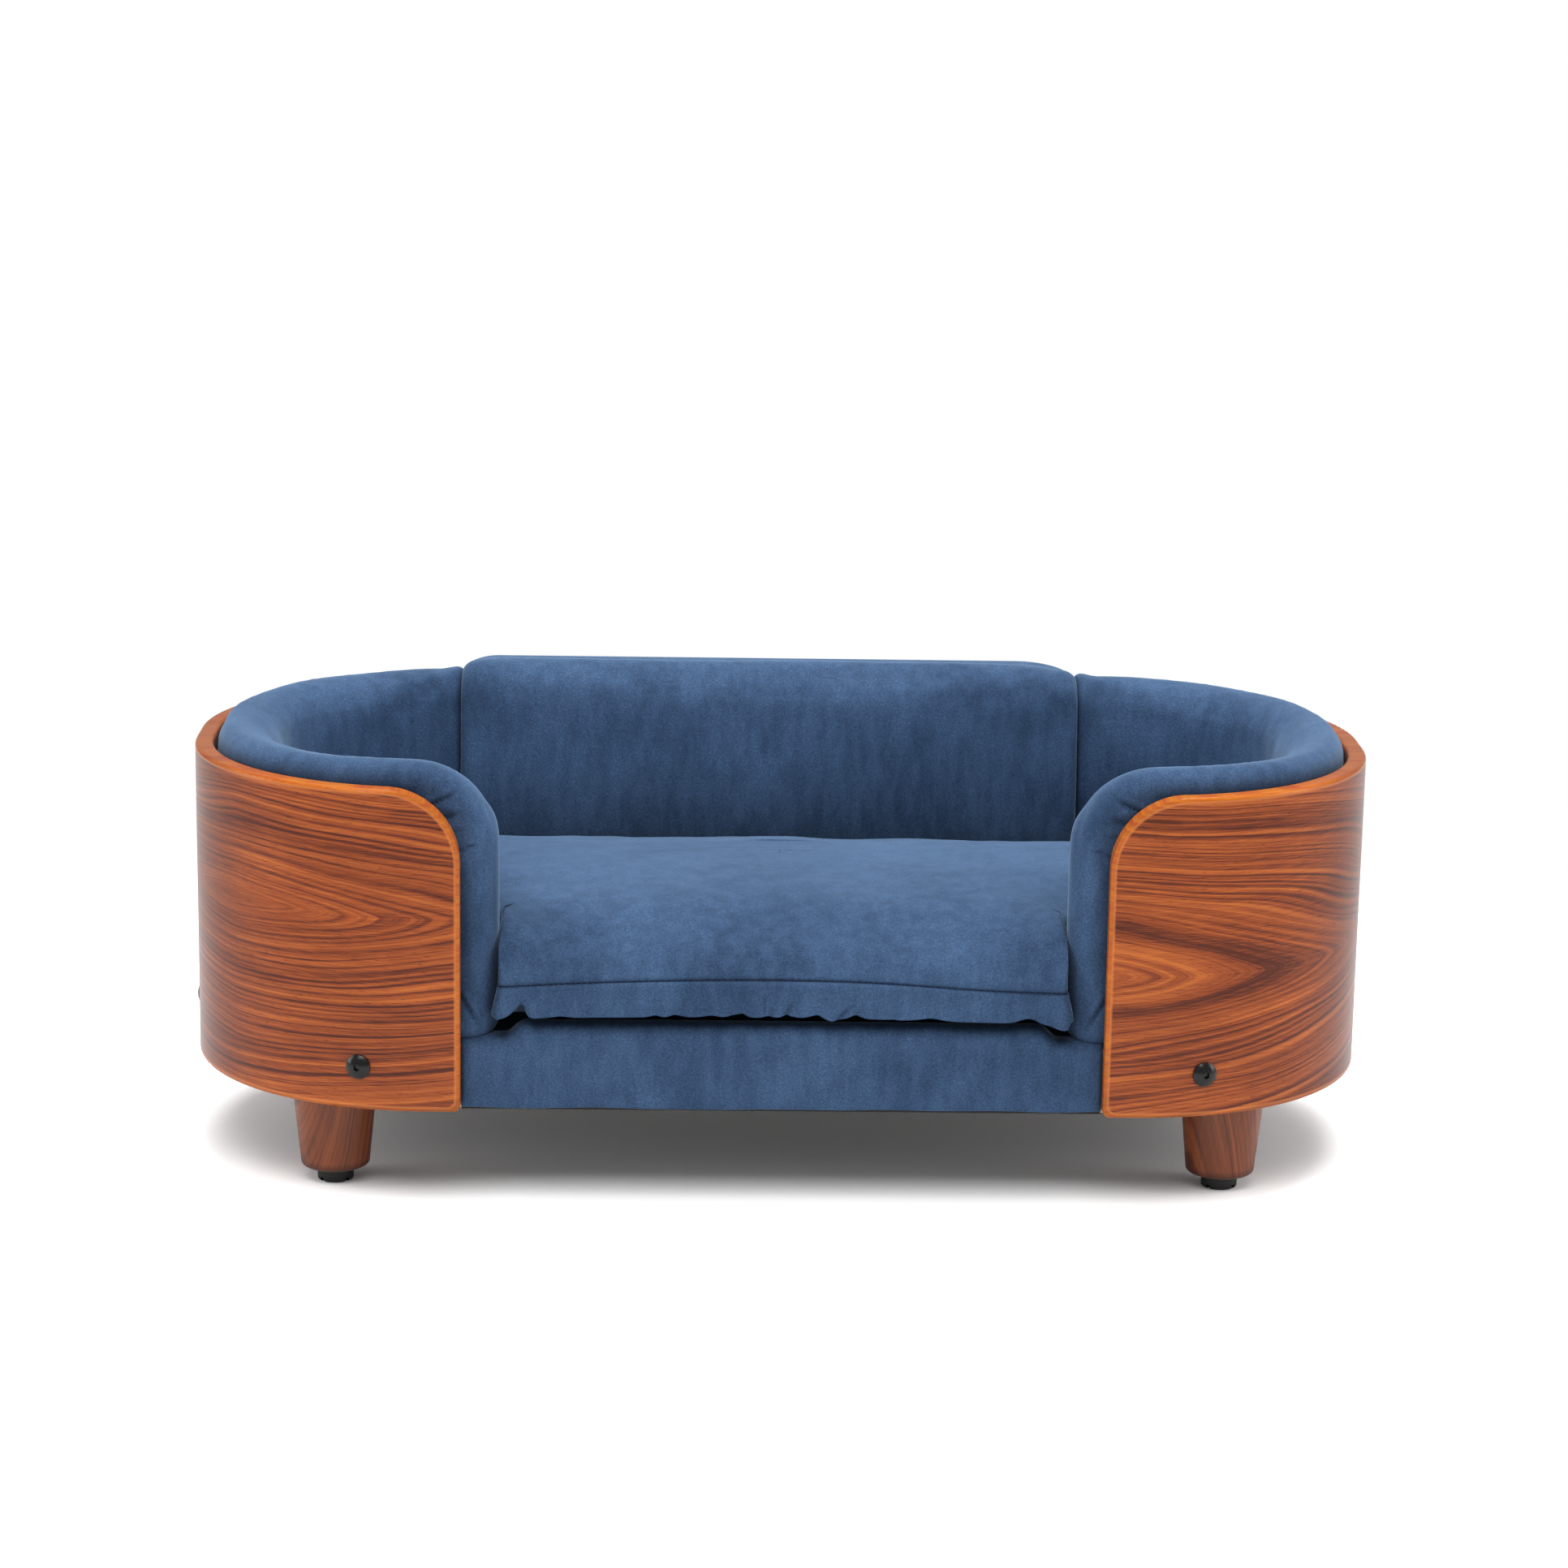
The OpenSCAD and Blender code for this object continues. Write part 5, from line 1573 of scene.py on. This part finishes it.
class Finish:
    """A material under construction: its graph, its Principled shader and the piece's own coordinates."""

    def __init__(self, name: str, **settings: object) -> None:
        """Starts a material.

        Args:
            name: The material's name.
            settings: Constant values of the shader, by socket name with underscores.
        """
        self.material = bpy.data.materials.new(name)
        self.material.use_nodes = True
        self.material.node_tree.nodes.clear()
        self.graph = Graph(self.material.node_tree)
        self.shader = self.graph.add("ShaderNodeBsdfPrincipled")
        for label, value in settings.items():
            self.shader.inputs[label.replace("_", " ")].default_value = value
        output = self.graph.add("ShaderNodeOutputMaterial")
        self.graph.put(output.inputs["Surface"], self.shader.outputs[0])
        self.place = self.graph.add("ShaderNodeTexCoord").outputs["Object"]

    def effect(self, group: GroupBuilder, **inputs: object) -> bpy.types.bpy_prop_collection:
        """Adds a shared effect and returns its outputs."""
        node = self.graph.add("ShaderNodeGroup", node_tree=group.tree)
        for label, value in inputs.items():
            self.graph.put(node.inputs[label.replace("_", " ")], value)
        return node.outputs

    def bump(self, height: object, strength: float, distance: float) -> None:
        """Gives the shader a bump from a height."""
        inputs = {"Height": height, "Strength": strength, "Distance": distance}
        self.graph.put(self.shader.inputs["Normal"], self.graph.add("ShaderNodeBump", inputs).outputs[0])


@dataclass(frozen=True)
class Colour:
    """A colour written as it looks on a screen, from 0 to 255."""

    red: int
    green: int
    blue: int

    @property
    def linear(self) -> tuple[float, float, float]:
        """The colour as the shaders want it."""
        parts = (value / 255 for value in (self.red, self.green, self.blue))
        return tuple(p / 12.92 if p <= 0.04045 else ((p + 0.055) / 1.055) ** 2.4 for p in parts)

    @property
    def full(self) -> tuple[float, float, float, float]:
        """The colour with its opacity."""
        return (*self.linear, 1.0)


@dataclass(frozen=True)
class Grain:
    """How the figure of the wood is drawn: sizes in metres and scales per metre."""

    pointed: float = 1.35
    eye_calm: float = 16 * MM
    slow_along: float = 3.2
    slow_across: float = 13.0
    warp: float = 26 * MM
    zone_scale: float = 70.0
    zone_share: float = 0.46
    line_scale: float = 330.0
    line_share: float = 1.05
    depth_scale: float = 300.0
    streak_along: float = 9.0
    streak_across: float = 520.0
    hair_along: float = 42.0
    hair_across: float = 1700.0
    pore_along: float = 150.0
    pore_across: float = 1900.0


@dataclass(frozen=True)
class Nap:
    """How the nap of the suede is drawn: scales per metre and shares."""

    speck_scale: float = 820.0
    patch_scale: float = 14.0
    stroke_scale: float = 115.0
    stroke_upright: float = 0.3
    patch_share: float = 0.55
    fuzz_scale: float = 1700.0
    soft_scale: float = 190.0
    soft_share: float = 0.8


@dataclass(frozen=True)
class Effects:
    """The shader groups that several materials share."""

    unroll: GroupBuilder
    wood: GroupBuilder
    nap: GroupBuilder
    edge: GroupBuilder

    @classmethod
    def make(cls, plan: Plan) -> "Effects":
        """Builds the groups for a plan."""
        wood, nap = cls.wood_figure(Grain()), cls.cloth_nap(Nap())
        return cls(cls.unrolled(plan), wood, nap, cls.edge_distance(plan))

    @staticmethod
    def unrolled(plan: Plan) -> GroupBuilder:
        """Unrolls a shell: distance round it from the middle of its side, and height.

        Args:
            plan: The sofa's plan.

        Returns:
            The finished group.
        """
        group = GroupBuilder("unroll", "ShaderNodeTree", {"Place": (0.0, 0.0, 0.0)},
                             {"Along": "NodeSocketFloat", "Height": "NodeSocketFloat"})
        x, y, z = group.split(group.given["Place"])
        out = group.math("ABSOLUTE", x)
        deep = group.math("ABSOLUTE", y)
        dx = group.math("MAXIMUM", group.less(out, plan.arc_x), 0.0)
        dy = group.math("MAXIMUM", group.less(deep, plan.arc_y), 0.0)
        angle = group.math("ARCTAN2", dy, group.math("ADD", dx, 1e-5))
        bend = group.times(angle, plan.radius)
        straight = group.math("MAXIMUM", group.less(plan.arc_x, out), 0.0)
        along = group.math("ADD", group.math("MINIMUM", deep, plan.arc_y), group.math("ADD", bend, straight))
        signed = group.times(along, group.math("SIGN", y))
        group.put(group.result["Along"], signed)
        group.put(group.result["Height"], z)
        return group

    @staticmethod
    def edge_distance(plan: Plan) -> GroupBuilder:
        """Distance in from the nearest edge of a shell, along its face.

        Args:
            plan: The sofa's plan.

        Returns:
            The finished group.
        """
        group = GroupBuilder("edge_distance", "ShaderNodeTree", {"Along": 0.0, "Height": 0.0},
                             {"Distance": "NodeSocketFloat"})
        front_r, rear_r, low_r = 48 * MM, 12 * MM, 8 * MM
        along, height = group.given["Along"], group.given["Height"]
        end = plan.arc_y + plan.radius * math.pi / 2 + plan.arc_x - plan.mouth_x
        du = group.less(end, group.math("ABSOLUTE", along))

        def corner(from_edge: object, radius: object) -> bpy.types.NodeSocket:
            """Distance from the outline of a rounded corner."""
            a = group.math("MAXIMUM", group.less(radius, du), 0.0)
            b = group.math("MAXIMUM", group.less(radius, from_edge), 0.0)
            squares = group.math("ADD", group.times(a, a), group.times(b, b))
            return group.less(radius, group.math("SQRT", squares))

        is_rear = group.math("GREATER_THAN", along, 0.0)
        top_radius = group.math("MULTIPLY_ADD", is_rear, rear_r - front_r, front_r)
        top = corner(group.less(plan.rim, height), top_radius)
        bottom = corner(group.less(height, plan.low), low_r)
        group.put(group.result["Distance"], group.math("MINIMUM", top, bottom))
        return group

    @staticmethod
    def wood_figure(grain: Grain) -> GroupBuilder:
        """Grain that runs along one direction and closes into long eyes round one point.

        Args:
            grain: The sizes of the figure.

        Returns:
            The finished group.
        """
        group = GroupBuilder("wood_figure", "ShaderNodeTree", {
            "Along": 0.0, "Across": 0.0, "Deep": 0.0, "Eye Along": 0.0, "Eye Across": 0.0, "Stretch": 0.24,
            "Seed": 0.0}, dict.fromkeys(("Figure", "Fibre", "Pores", "Cloud"), "NodeSocketFloat"))
        given = group.given
        along, across, seed = given["Along"], given["Across"], given["Seed"]
        du = group.less(along, given["Eye Along"])
        dv = group.less(across, given["Eye Across"])
        slow = group.stretched(along, grain.slow_along, across, grain.slow_across,
                               group.math("ADD", seed, given["Deep"]))
        warp = group.math("MULTIPLY_ADD", group.noise(slow, 1.0, 2.0, 0.45), grain.warp, -grain.warp / 2)
        long = group.math("ABSOLUTE", group.times(du, given["Stretch"]))
        powers = (group.math("POWER", part, grain.pointed) for part in (long, group.math("ABSOLUTE", dv)))
        round_eye = group.math("POWER", group.math("ADD", *powers), 1 / grain.pointed)
        sparse = group.math("DIVIDE", group.times(round_eye, round_eye),
                            group.math("ADD", round_eye, grain.eye_calm))
        shifted = group.math("ADD", group.math("ADD", sparse, warp), seed)
        zones = group.less(group.noise_line(shifted, grain.zone_scale, 1.0, 0.5), 0.5)
        lines = group.less(group.noise_line(shifted, grain.line_scale, 3.0, 0.7), 0.5)
        figure = group.math("ADD", group.times(zones, grain.zone_share),
                            group.math("MULTIPLY_ADD", lines, grain.line_share, 0.5))
        deep = group.times(given["Deep"], grain.depth_scale)
        streaks = group.stretched(along, grain.streak_along, shifted, grain.streak_across, deep)
        hairs = group.stretched(along, grain.hair_along, across, grain.hair_across, deep)
        hair = group.times(group.noise(hairs, 1.0, 2.0, 0.65), 0.5)
        fibre = group.math("MULTIPLY_ADD", group.noise(streaks, 1.0, 2.0, 0.6), 0.5, hair)
        dots = group.stretched(along, grain.pore_along, across, grain.pore_across,
                               group.math("ADD", seed, 9.0))
        pores = group.span(group.noise(dots, 1.0, 1.0, 0.5), 0.66, 0.74)
        cloud = group.noise(slow, 2.1, 1.0, 0.5)
        for label, socket in (("Figure", figure), ("Fibre", fibre), ("Pores", pores), ("Cloud", cloud)):
            group.put(group.result[label], socket)
        return group

    @staticmethod
    def cloth_nap(nap: Nap) -> GroupBuilder:
        """Suede: fine specks, soft patches where the nap lies another way, and a height for the bump.

        Args:
            nap: The scales of the nap.

        Returns:
            The finished group.
        """
        group = GroupBuilder("cloth_nap", "ShaderNodeTree", {"Place": (0.0, 0.0, 0.0)}, {
            "Speck": "NodeSocketFloat", "Patch": "NodeSocketFloat", "Height": "NodeSocketFloat"})
        place = group.given["Place"]
        speck = group.noise(place, nap.speck_scale, 3.0, 0.7)
        x, y, z = group.split(place)
        brushed = group.join(x, y, group.times(z, nap.stroke_upright))
        wide = group.span(group.noise(place, nap.patch_scale, 2.0, 0.5), 0.3, 0.7)
        stroke = group.span(group.noise(brushed, nap.stroke_scale, 2.0, 0.55), 0.3, 0.7)
        strokes = group.times(stroke, 1 - nap.patch_share)
        patch = group.math("MULTIPLY_ADD", wide, nap.patch_share, strokes)
        group.put(group.result["Speck"], speck)
        group.put(group.result["Patch"], patch)
        fuzz = group.noise(place, nap.fuzz_scale, 2.0, 0.6)
        soft = group.noise(place, nap.soft_scale, 2.0, 0.5)
        group.put(group.result["Height"], group.math("MULTIPLY_ADD", soft, nap.soft_share, fuzz))
        return group


@dataclass(frozen=True)
class Suede:
    """Blue microfibre with a short nap, with a painted sheen at grazing angles and painted shade in its
    hollows.
    """

    deep: Colour = Colour(46, 66, 94)
    light: Colour = Colour(65, 89, 122)
    # painted sheen: this pale blue is mixed into the colour at grazing angles, by the share below
    rim: Colour = Colour(104, 138, 176)
    painted_sheen_share: float = 0.55
    # painted shade: ambient occlusion darkens the colour in hollows, gaps and under overhangs
    painted_shade_reach: float = 55 * MM
    painted_shade_power: float = 1.4
    painted_shade_floor: float = 0.38

    def build(self, effects: Effects) -> bpy.types.Material:
        """Makes the material.

        Args:
            effects: The shared shader groups.

        Returns:
            The material.
        """
        finish = Finish("blue_microfibre", Roughness=0.92, Sheen_Weight=0.3, Sheen_Roughness=0.35,
                        Specular_IOR_Level=0.1, Sheen_Tint=(0.6, 0.78, 1.0, 1.0))
        graph = finish.graph
        nap = finish.effect(effects.nap, Place=finish.place)
        patches = graph.mix(nap["Patch"], self.deep.full, self.light.full)
        stops = [(0.3, (0.7, 0.7, 0.72)), (0.5, (1, 1, 1)), (0.7, (1.42, 1.4, 1.36))]
        speck = graph.ramp(nap["Speck"], stops)
        body = graph.mix(1.0, patches, speck, "MULTIPLY")
        # painted sheen: the colour turns pale blue where the cloth is seen edge-on
        facing = graph.add("ShaderNodeLayerWeight", {"Blend": 0.28}).outputs["Facing"]
        rim = graph.times(graph.math("POWER", facing, 2.0), self.painted_sheen_share)
        colour = graph.mix(rim, body, self.rim.full)
        # painted shade: the colour is darkened by ambient occlusion, down to the floor share in deep hollows
        reach = {"Distance": self.painted_shade_reach}
        hollow = graph.add("ShaderNodeAmbientOcclusion", reach, samples=6).outputs["AO"]
        shade = graph.math("MULTIPLY_ADD", graph.math("POWER", hollow, self.painted_shade_power),
                           1 - self.painted_shade_floor, self.painted_shade_floor)
        graph.put(finish.shader.inputs["Base Color"], graph.mix(1.0, colour, shade, "MULTIPLY"))
        finish.bump(nap["Height"], 0.45, 0.5 * MM)
        return finish.material


@dataclass(frozen=True)
class Veneer:
    """Glossy reddish veneer on a bent shell, a paler stained edge, painted side shade and a painted edge
    highlight.
    """

    name: str
    eye_along: float
    eye_height: float
    stretch: float
    seed: float
    # darkest grain; also mixed in as painted shade towards the shell's outer sides
    dark: Colour = Colour(80, 33, 18)
    middle: Colour = Colour(140, 66, 26)
    light: Colour = Colour(186, 101, 43)
    brown: Colour = Colour(112, 50, 26)
    amber: Colour = Colour(158, 78, 36)
    pore: Colour = Colour(70, 26, 16)
    edge: Colour = Colour(206, 118, 30)
    stain: Colour = Colour(170, 76, 28)
    # painted highlight: a pale line along the rounded edge
    painted_highlight: Colour = Colour(226, 138, 78)
    # painted shade: between these distances from the middle the veneer darkens towards the dark colour
    painted_side_shade: tuple[float, float] = (318 * MM, 372 * MM)
    low_fade: tuple[float, float] = (92 * MM, 72 * MM)
    edge_share: float = 0.85
    edge_muted: float = 0.42

    def build(self, effects: Effects) -> bpy.types.Material:
        """Makes the material.

        Args:
            effects: The shared shader groups.

        Returns:
            The material.
        """
        finish = Finish(self.name, Specular_IOR_Level=0.05, Coat_Weight=0.55, Coat_Roughness=0.27,
                        Coat_IOR=1.4)
        graph = finish.graph
        flat = finish.effect(effects.unroll, Place=finish.place)
        wood = finish.effect(effects.wood, Along=flat["Along"], Across=flat["Height"],
                             Eye_Along=self.eye_along, Eye_Across=self.eye_height, Stretch=self.stretch,
                             Seed=self.seed)
        figure = graph.math("MULTIPLY_ADD", graph.less(wood["Fibre"], 0.5), 1.3, wood["Figure"])
        colour = graph.ramp(figure, [
            (0.24, self.dark.linear), (0.38, self.brown.linear), (0.47, self.middle.linear),
            (0.60, self.amber.linear), (0.78, self.light.linear)])
        cloud = graph.ramp(wood["Cloud"], [(0.3, (0.82, 0.76, 0.76)), (0.7, (1.08, 1.06, 1.02))])
        colour = graph.mix(1.0, colour, cloud, "MULTIPLY")
        # painted shade: the shell darkens towards its outer sides, where it turns away from the light
        outer = graph.span(graph.math("ABSOLUTE", graph.split(finish.place)[0]), *self.painted_side_shade)
        colour = graph.mix(graph.times(outer, 0.5), colour, self.dark.full)
        colour = graph.mix(graph.times(wood["Pores"], 0.7), colour, self.pore.full)
        distance = finish.effect(effects.edge, Along=flat["Along"], Height=flat["Height"])["Distance"]
        band = graph.span(distance, 3.6 * MM, 2.0 * MM)
        # painted highlight: a thin pale line just inside the edge, where its rounding catches the light
        line = graph.times(graph.span(distance, 1.8 * MM, 2.8 * MM),
                           graph.span(distance, 4.2 * MM, 3.2 * MM))
        stained = graph.mix(graph.span(wood["Fibre"], 0.35, 0.65), self.edge.full, self.stain.full)
        lower = graph.span(flat["Height"], *self.low_fade)
        far = graph.math("MAXIMUM", lower, outer)
        muted = graph.math("MULTIPLY_ADD", far, -self.edge_muted, self.edge_share)
        colour = graph.mix(graph.times(band, muted), colour, stained)
        colour = graph.mix(graph.times(line, 0.35), colour, self.painted_highlight.full)
        graph.put(finish.shader.inputs["Base Color"], colour)
        graph.put(finish.shader.inputs["Roughness"], graph.span(wood["Fibre"], 0.2, 0.8, 0.26, 0.42))
        grain = graph.less(wood["Fibre"], graph.times(wood["Pores"], 0.8))
        finish.bump(grain, 0.12, 0.2 * MM)
        return finish.material


@dataclass(frozen=True)
class TurnedWood:
    """Darker red wood of the turned legs, its grain upright."""

    dark: Colour = Colour(88, 40, 22)
    light: Colour = Colour(146, 76, 38)
    foot: Colour = Colour(46, 18, 14)
    foot_fade: tuple[float, float] = (17 * MM, 11 * MM)

    def build(self, effects: Effects) -> bpy.types.Material:
        """Makes the material.

        Args:
            effects: The shared shader groups.

        Returns:
            The material.
        """
        finish = Finish("leg_wood", Specular_IOR_Level=0.35, Coat_Weight=0.18, Coat_Roughness=0.25)
        graph = finish.graph
        x, y, z = graph.split(finish.place)
        wood = finish.effect(effects.wood, Along=z, Across=graph.math("MULTIPLY_ADD", y, 0.35, x), Deep=y,
                             Eye_Along=-0.3, Stretch=0.3, Seed=4.0)
        figure = graph.math("MULTIPLY_ADD", graph.less(wood["Fibre"], 0.5), 0.7, wood["Figure"])
        colour = graph.ramp(figure, [(0.28, self.dark.linear), (0.7, self.light.linear)])
        low = graph.span(z, *self.foot_fade)
        colour = graph.mix(graph.times(low, 0.65), colour, self.foot.full)
        graph.put(finish.shader.inputs["Base Color"], colour)
        graph.put(finish.shader.inputs["Roughness"], graph.span(wood["Fibre"], 0.2, 0.8, 0.3, 0.5))
        finish.bump(wood["Fibre"], 0.15, 0.2 * MM)
        return finish.material


@dataclass(frozen=True)
class RawWood:
    """Unfinished ply and softwood of the hidden frame."""

    pale: Colour = Colour(214, 182, 138)
    dark: Colour = Colour(184, 144, 98)

    def build(self, effects: Effects) -> bpy.types.Material:
        """Makes the material.

        Args:
            effects: The shared shader groups.

        Returns:
            The material.
        """
        finish = Finish("frame_wood", Roughness=0.75, Specular_IOR_Level=0.3)
        graph = finish.graph
        x, y, z = graph.split(finish.place)
        wood = finish.effect(effects.wood, Along=x, Across=graph.math("ADD", y, z), Deep=z, Eye_Along=0.9,
                             Stretch=0.15, Seed=7.0)
        colour = graph.ramp(wood["Figure"], [(0.3, self.dark.linear), (0.6, self.pale.linear)])
        graph.put(finish.shader.inputs["Base Color"], colour)
        finish.bump(wood["Fibre"], 0.3, 0.3 * MM)
        return finish.material


@dataclass(frozen=True)
class Plain:
    """A finish of one colour with a fine surface."""

    name: str
    colour: Colour
    roughness: float
    metallic: float = 0.0
    speck: float = 800.0
    bump: float = 0.1
    sheen: float = 0.0

    def build(self) -> bpy.types.Material:
        """Makes the material.

        Returns:
            The material.
        """
        finish = Finish(self.name, Metallic=self.metallic, Sheen_Weight=self.sheen)
        graph = finish.graph
        speck = graph.noise(finish.place, self.speck, 2.0, 0.6)
        shade = graph.ramp(speck, [(0.3, (0.75, 0.75, 0.75)), (0.7, (1.2, 1.2, 1.2))])
        graph.put(finish.shader.inputs["Base Color"], graph.mix(1.0, self.colour.full, shade, "MULTIPLY"))
        rough = graph.span(speck, 0.3, 0.7, self.roughness - 0.06, self.roughness + 0.08)
        graph.put(finish.shader.inputs["Roughness"], rough)
        finish.bump(speck, self.bump, 0.2 * MM)
        return finish.material


@dataclass
class Finishes:
    """Every material of the sofa, made once."""

    effects: Effects

    def __post_init__(self) -> None:
        """Builds the materials."""
        self.cloth = Suede().build(self.effects)
        self.veneer_left = Veneer("veneer_left", eye_along=-120 * MM, eye_height=189 * MM, stretch=0.16,
                                  seed=1.3).build(self.effects)
        self.veneer_right = Veneer("veneer_right", eye_along=-312 * MM, eye_height=156 * MM, stretch=0.19,
                                   seed=5.1).build(self.effects)
        self.leg = TurnedWood().build(self.effects)
        self.raw = RawWood().build(self.effects)
        self.dust = Plain("black_nonwoven", Colour(26, 26, 28), 0.9, speck=600.0, bump=0.4,
                          sheen=0.1).build()
        self.thread = Plain("blue_thread", Colour(34, 52, 86), 0.8, speck=3000.0, bump=0.3).build()
        self.steel = Plain("black_steel", Colour(20, 20, 22), 0.2, metallic=0.3, bump=0.0).build()
        self.plastic = Plain("foot_plastic", Colour(22, 22, 23), 0.5, bump=0.15).build()
        self.zinc = Plain("zinc_plate", Colour(186, 184, 176), 0.36, metallic=1.0, bump=0.05).build()

    def dress(self) -> None:
        """Gives each hard node its material."""
        by_node = {
            "shell_left": self.veneer_left, "shell_right": self.veneer_right, "leg_front": self.leg,
            "leg_rear": self.leg, "foot_front": self.plastic, "foot_rear": self.plastic,
            "shell_bolts": self.steel, "pad_studs": self.plastic, "pad_liner": self.raw,
            "end_rib": self.raw, "front_rail": self.raw, "rear_rail": self.raw, "cross_batten": self.raw,
            "deck_board": self.raw, "back_board": self.raw, "foot_inserts": self.zinc,
            "hanger_bolts": self.zinc, "leg_tee_nuts": self.zinc, "shell_inserts": self.zinc,
            "deck_screws": self.zinc, "back_screws": self.zinc}
        for name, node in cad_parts.items():
            for start, material in by_node.items():
                if name.startswith(start):
                    node.data.materials.clear()
                    node.data.materials.append(material)
                    log.info("%s: %s", name, material.name)


@dataclass(frozen=True)
class SoftBox:
    """A large area light that looks at one point."""

    name: str
    place: tuple[float, float, float]
    aim: tuple[float, float, float]
    size: tuple[float, float]
    power: float
    tint: tuple[float, float, float] = (1.0, 1.0, 1.0)

    def build(self) -> None:
        """Adds the light to the scene."""
        data = bpy.data.lights.new(self.name, "AREA")
        data.shape = "RECTANGLE"
        data.size, data.size_y = self.size
        data.energy = self.power
        data.color = self.tint
        light = linked(self.name, data)
        light.location = self.place
        light.rotation_euler = (Vector(self.aim) - Vector(self.place)).to_track_quat("-Z", "Y").to_euler()


@dataclass(frozen=True)
class Studio:
    """A pale floor that reads as white, soft boxes, and the camera of the picture."""

    floor_gain: float = 0.55
    lit_radius: float = 0.62
    white_radius: float = 1.0
    camera_place: tuple[float, float, float] = (-0.0611, -2.5821, 0.8298)
    pitch: float = 12.908
    yaw: float = -1.402
    roll: float = -0.932
    lens: float = 92.65
    floor_size: float = 14.0
    ambient: float = 0.42

    def world(self) -> None:
        """Makes the world white for the camera and dimmer as a light."""
        world = bpy.data.worlds.new("studio")
        world.use_nodes = True
        world.node_tree.nodes.clear()
        graph = Graph(world.node_tree)
        seen = graph.add("ShaderNodeLightPath").outputs["Is Camera Ray"]
        strength = graph.math("MULTIPLY_ADD", seen, 1.0 - self.ambient, self.ambient)
        back = graph.add("ShaderNodeBackground", {"Color": (1, 1, 1, 1), "Strength": strength})
        output = graph.add("ShaderNodeOutputWorld")
        graph.put(output.inputs["Surface"], back.outputs[0])
        bpy.context.scene.world = world

    def floor(self) -> None:
        """Makes the floor: lit round the sofa, and plain white to the camera further out."""
        half = self.floor_size / 2
        mesh = bpy.data.meshes.new("floor")
        corners = [(-half, -half, 0), (half, -half, 0), (half, half, 0), (-half, half, 0)]
        mesh.from_pydata(corners, [], [(0, 1, 2, 3)])
        floor = linked("floor", mesh)
        material = bpy.data.materials.new("floor_paint")
        material.use_nodes = True
        material.node_tree.nodes.clear()
        graph = Graph(material.node_tree)
        paint = graph.add("ShaderNodeBsdfDiffuse", {"Color": (0.86, 0.86, 0.86, 1.0)}).outputs[0]
        glow = graph.add("ShaderNodeEmission", {"Color": (1, 1, 1, 1), "Strength": 1.0}).outputs[0]
        rays = graph.add("ShaderNodeLightPath").outputs
        seen = graph.math("MAXIMUM", rays["Is Camera Ray"], rays["Is Glossy Ray"])
        gain = graph.times(rays["Is Camera Ray"], self.floor_gain)
        extra = graph.add("ShaderNodeBsdfDiffuse", {"Color": graph.join(gain, gain, gain)}).outputs[0]
        lit = graph.add("ShaderNodeAddShader", {0: paint, 1: extra}).outputs[0]
        x, y, _ = graph.split(graph.add("ShaderNodeTexCoord").outputs["Object"])
        squares = graph.math("ADD", graph.times(x, x), graph.times(y, y))
        reach = graph.math("SQRT", squares)
        far = graph.span(reach, self.lit_radius, self.white_radius)
        shader = graph.add("ShaderNodeMixShader", {0: graph.times(far, seen), 1: lit, 2: glow})
        output = graph.add("ShaderNodeOutputMaterial")
        graph.put(output.inputs["Surface"], shader.outputs[0])
        mesh.materials.append(material)

    def lights(self) -> None:
        """Adds the soft boxes."""
        aim = (0.0, 0.0, 0.15)
        SoftBox("key", (-0.2, -1.5, 2.4), aim, (2.0, 1.5), 44.0).build()
        SoftBox("left_box", (-2.4, -0.2, 0.9), aim, (1.0, 1.6), 16.0).build()
        SoftBox("right_box", (2.4, -0.3, 1.0), aim, (1.0, 1.6), 17.0).build()
        SoftBox("top_box", (0.2, 0.4, 2.6), aim, (2.2, 1.4), 52.0).build()

    def camera(self) -> None:
        """Adds the camera."""
        pitch, yaw, roll = (math.radians(v) for v in (self.pitch, self.yaw, self.roll))
        turn = Matrix.Rotation(yaw, 3, "Z") @ Matrix.Rotation(-pitch, 3, "X") @ Matrix.Rotation(roll, 3, "Y")
        right, forward, up = turn.col[0], turn.col[1], turn.col[2]
        data = bpy.data.cameras.new("camera")
        data.lens = self.lens
        data.sensor_width = 36.0
        camera = linked("camera", data)
        axes = Matrix((right, up, -forward)).transposed()
        camera.matrix_world = Matrix.Translation(self.camera_place) @ axes.to_4x4()
        bpy.context.scene.camera = camera

    def build(self) -> None:
        """Builds the studio."""
        self.world()
        self.floor()
        self.lights()
        self.camera()
        bpy.context.scene.view_settings.view_transform = "Standard"


def main() -> None:
    """Builds the dressed sofa, piece by piece."""
    logging.basicConfig(level=logging.INFO, format="%(name)s: %(message)s")
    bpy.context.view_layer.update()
    plan = Plan.from_frame()
    finishes = Finishes(Effects.make(plan))
    finishes.dress()
    for side in Side:
        ArmPad(plan, side).build(finishes.cloth)
    BackPad(plan).build(finishes.cloth)
    SeatCushion(plan).build(finishes.cloth, finishes.thread, finishes.dust)
    Upholstery(plan).build(finishes.cloth, finishes.dust, finishes.zinc)
    Studio().build()


if __name__ == "__main__":
    main()
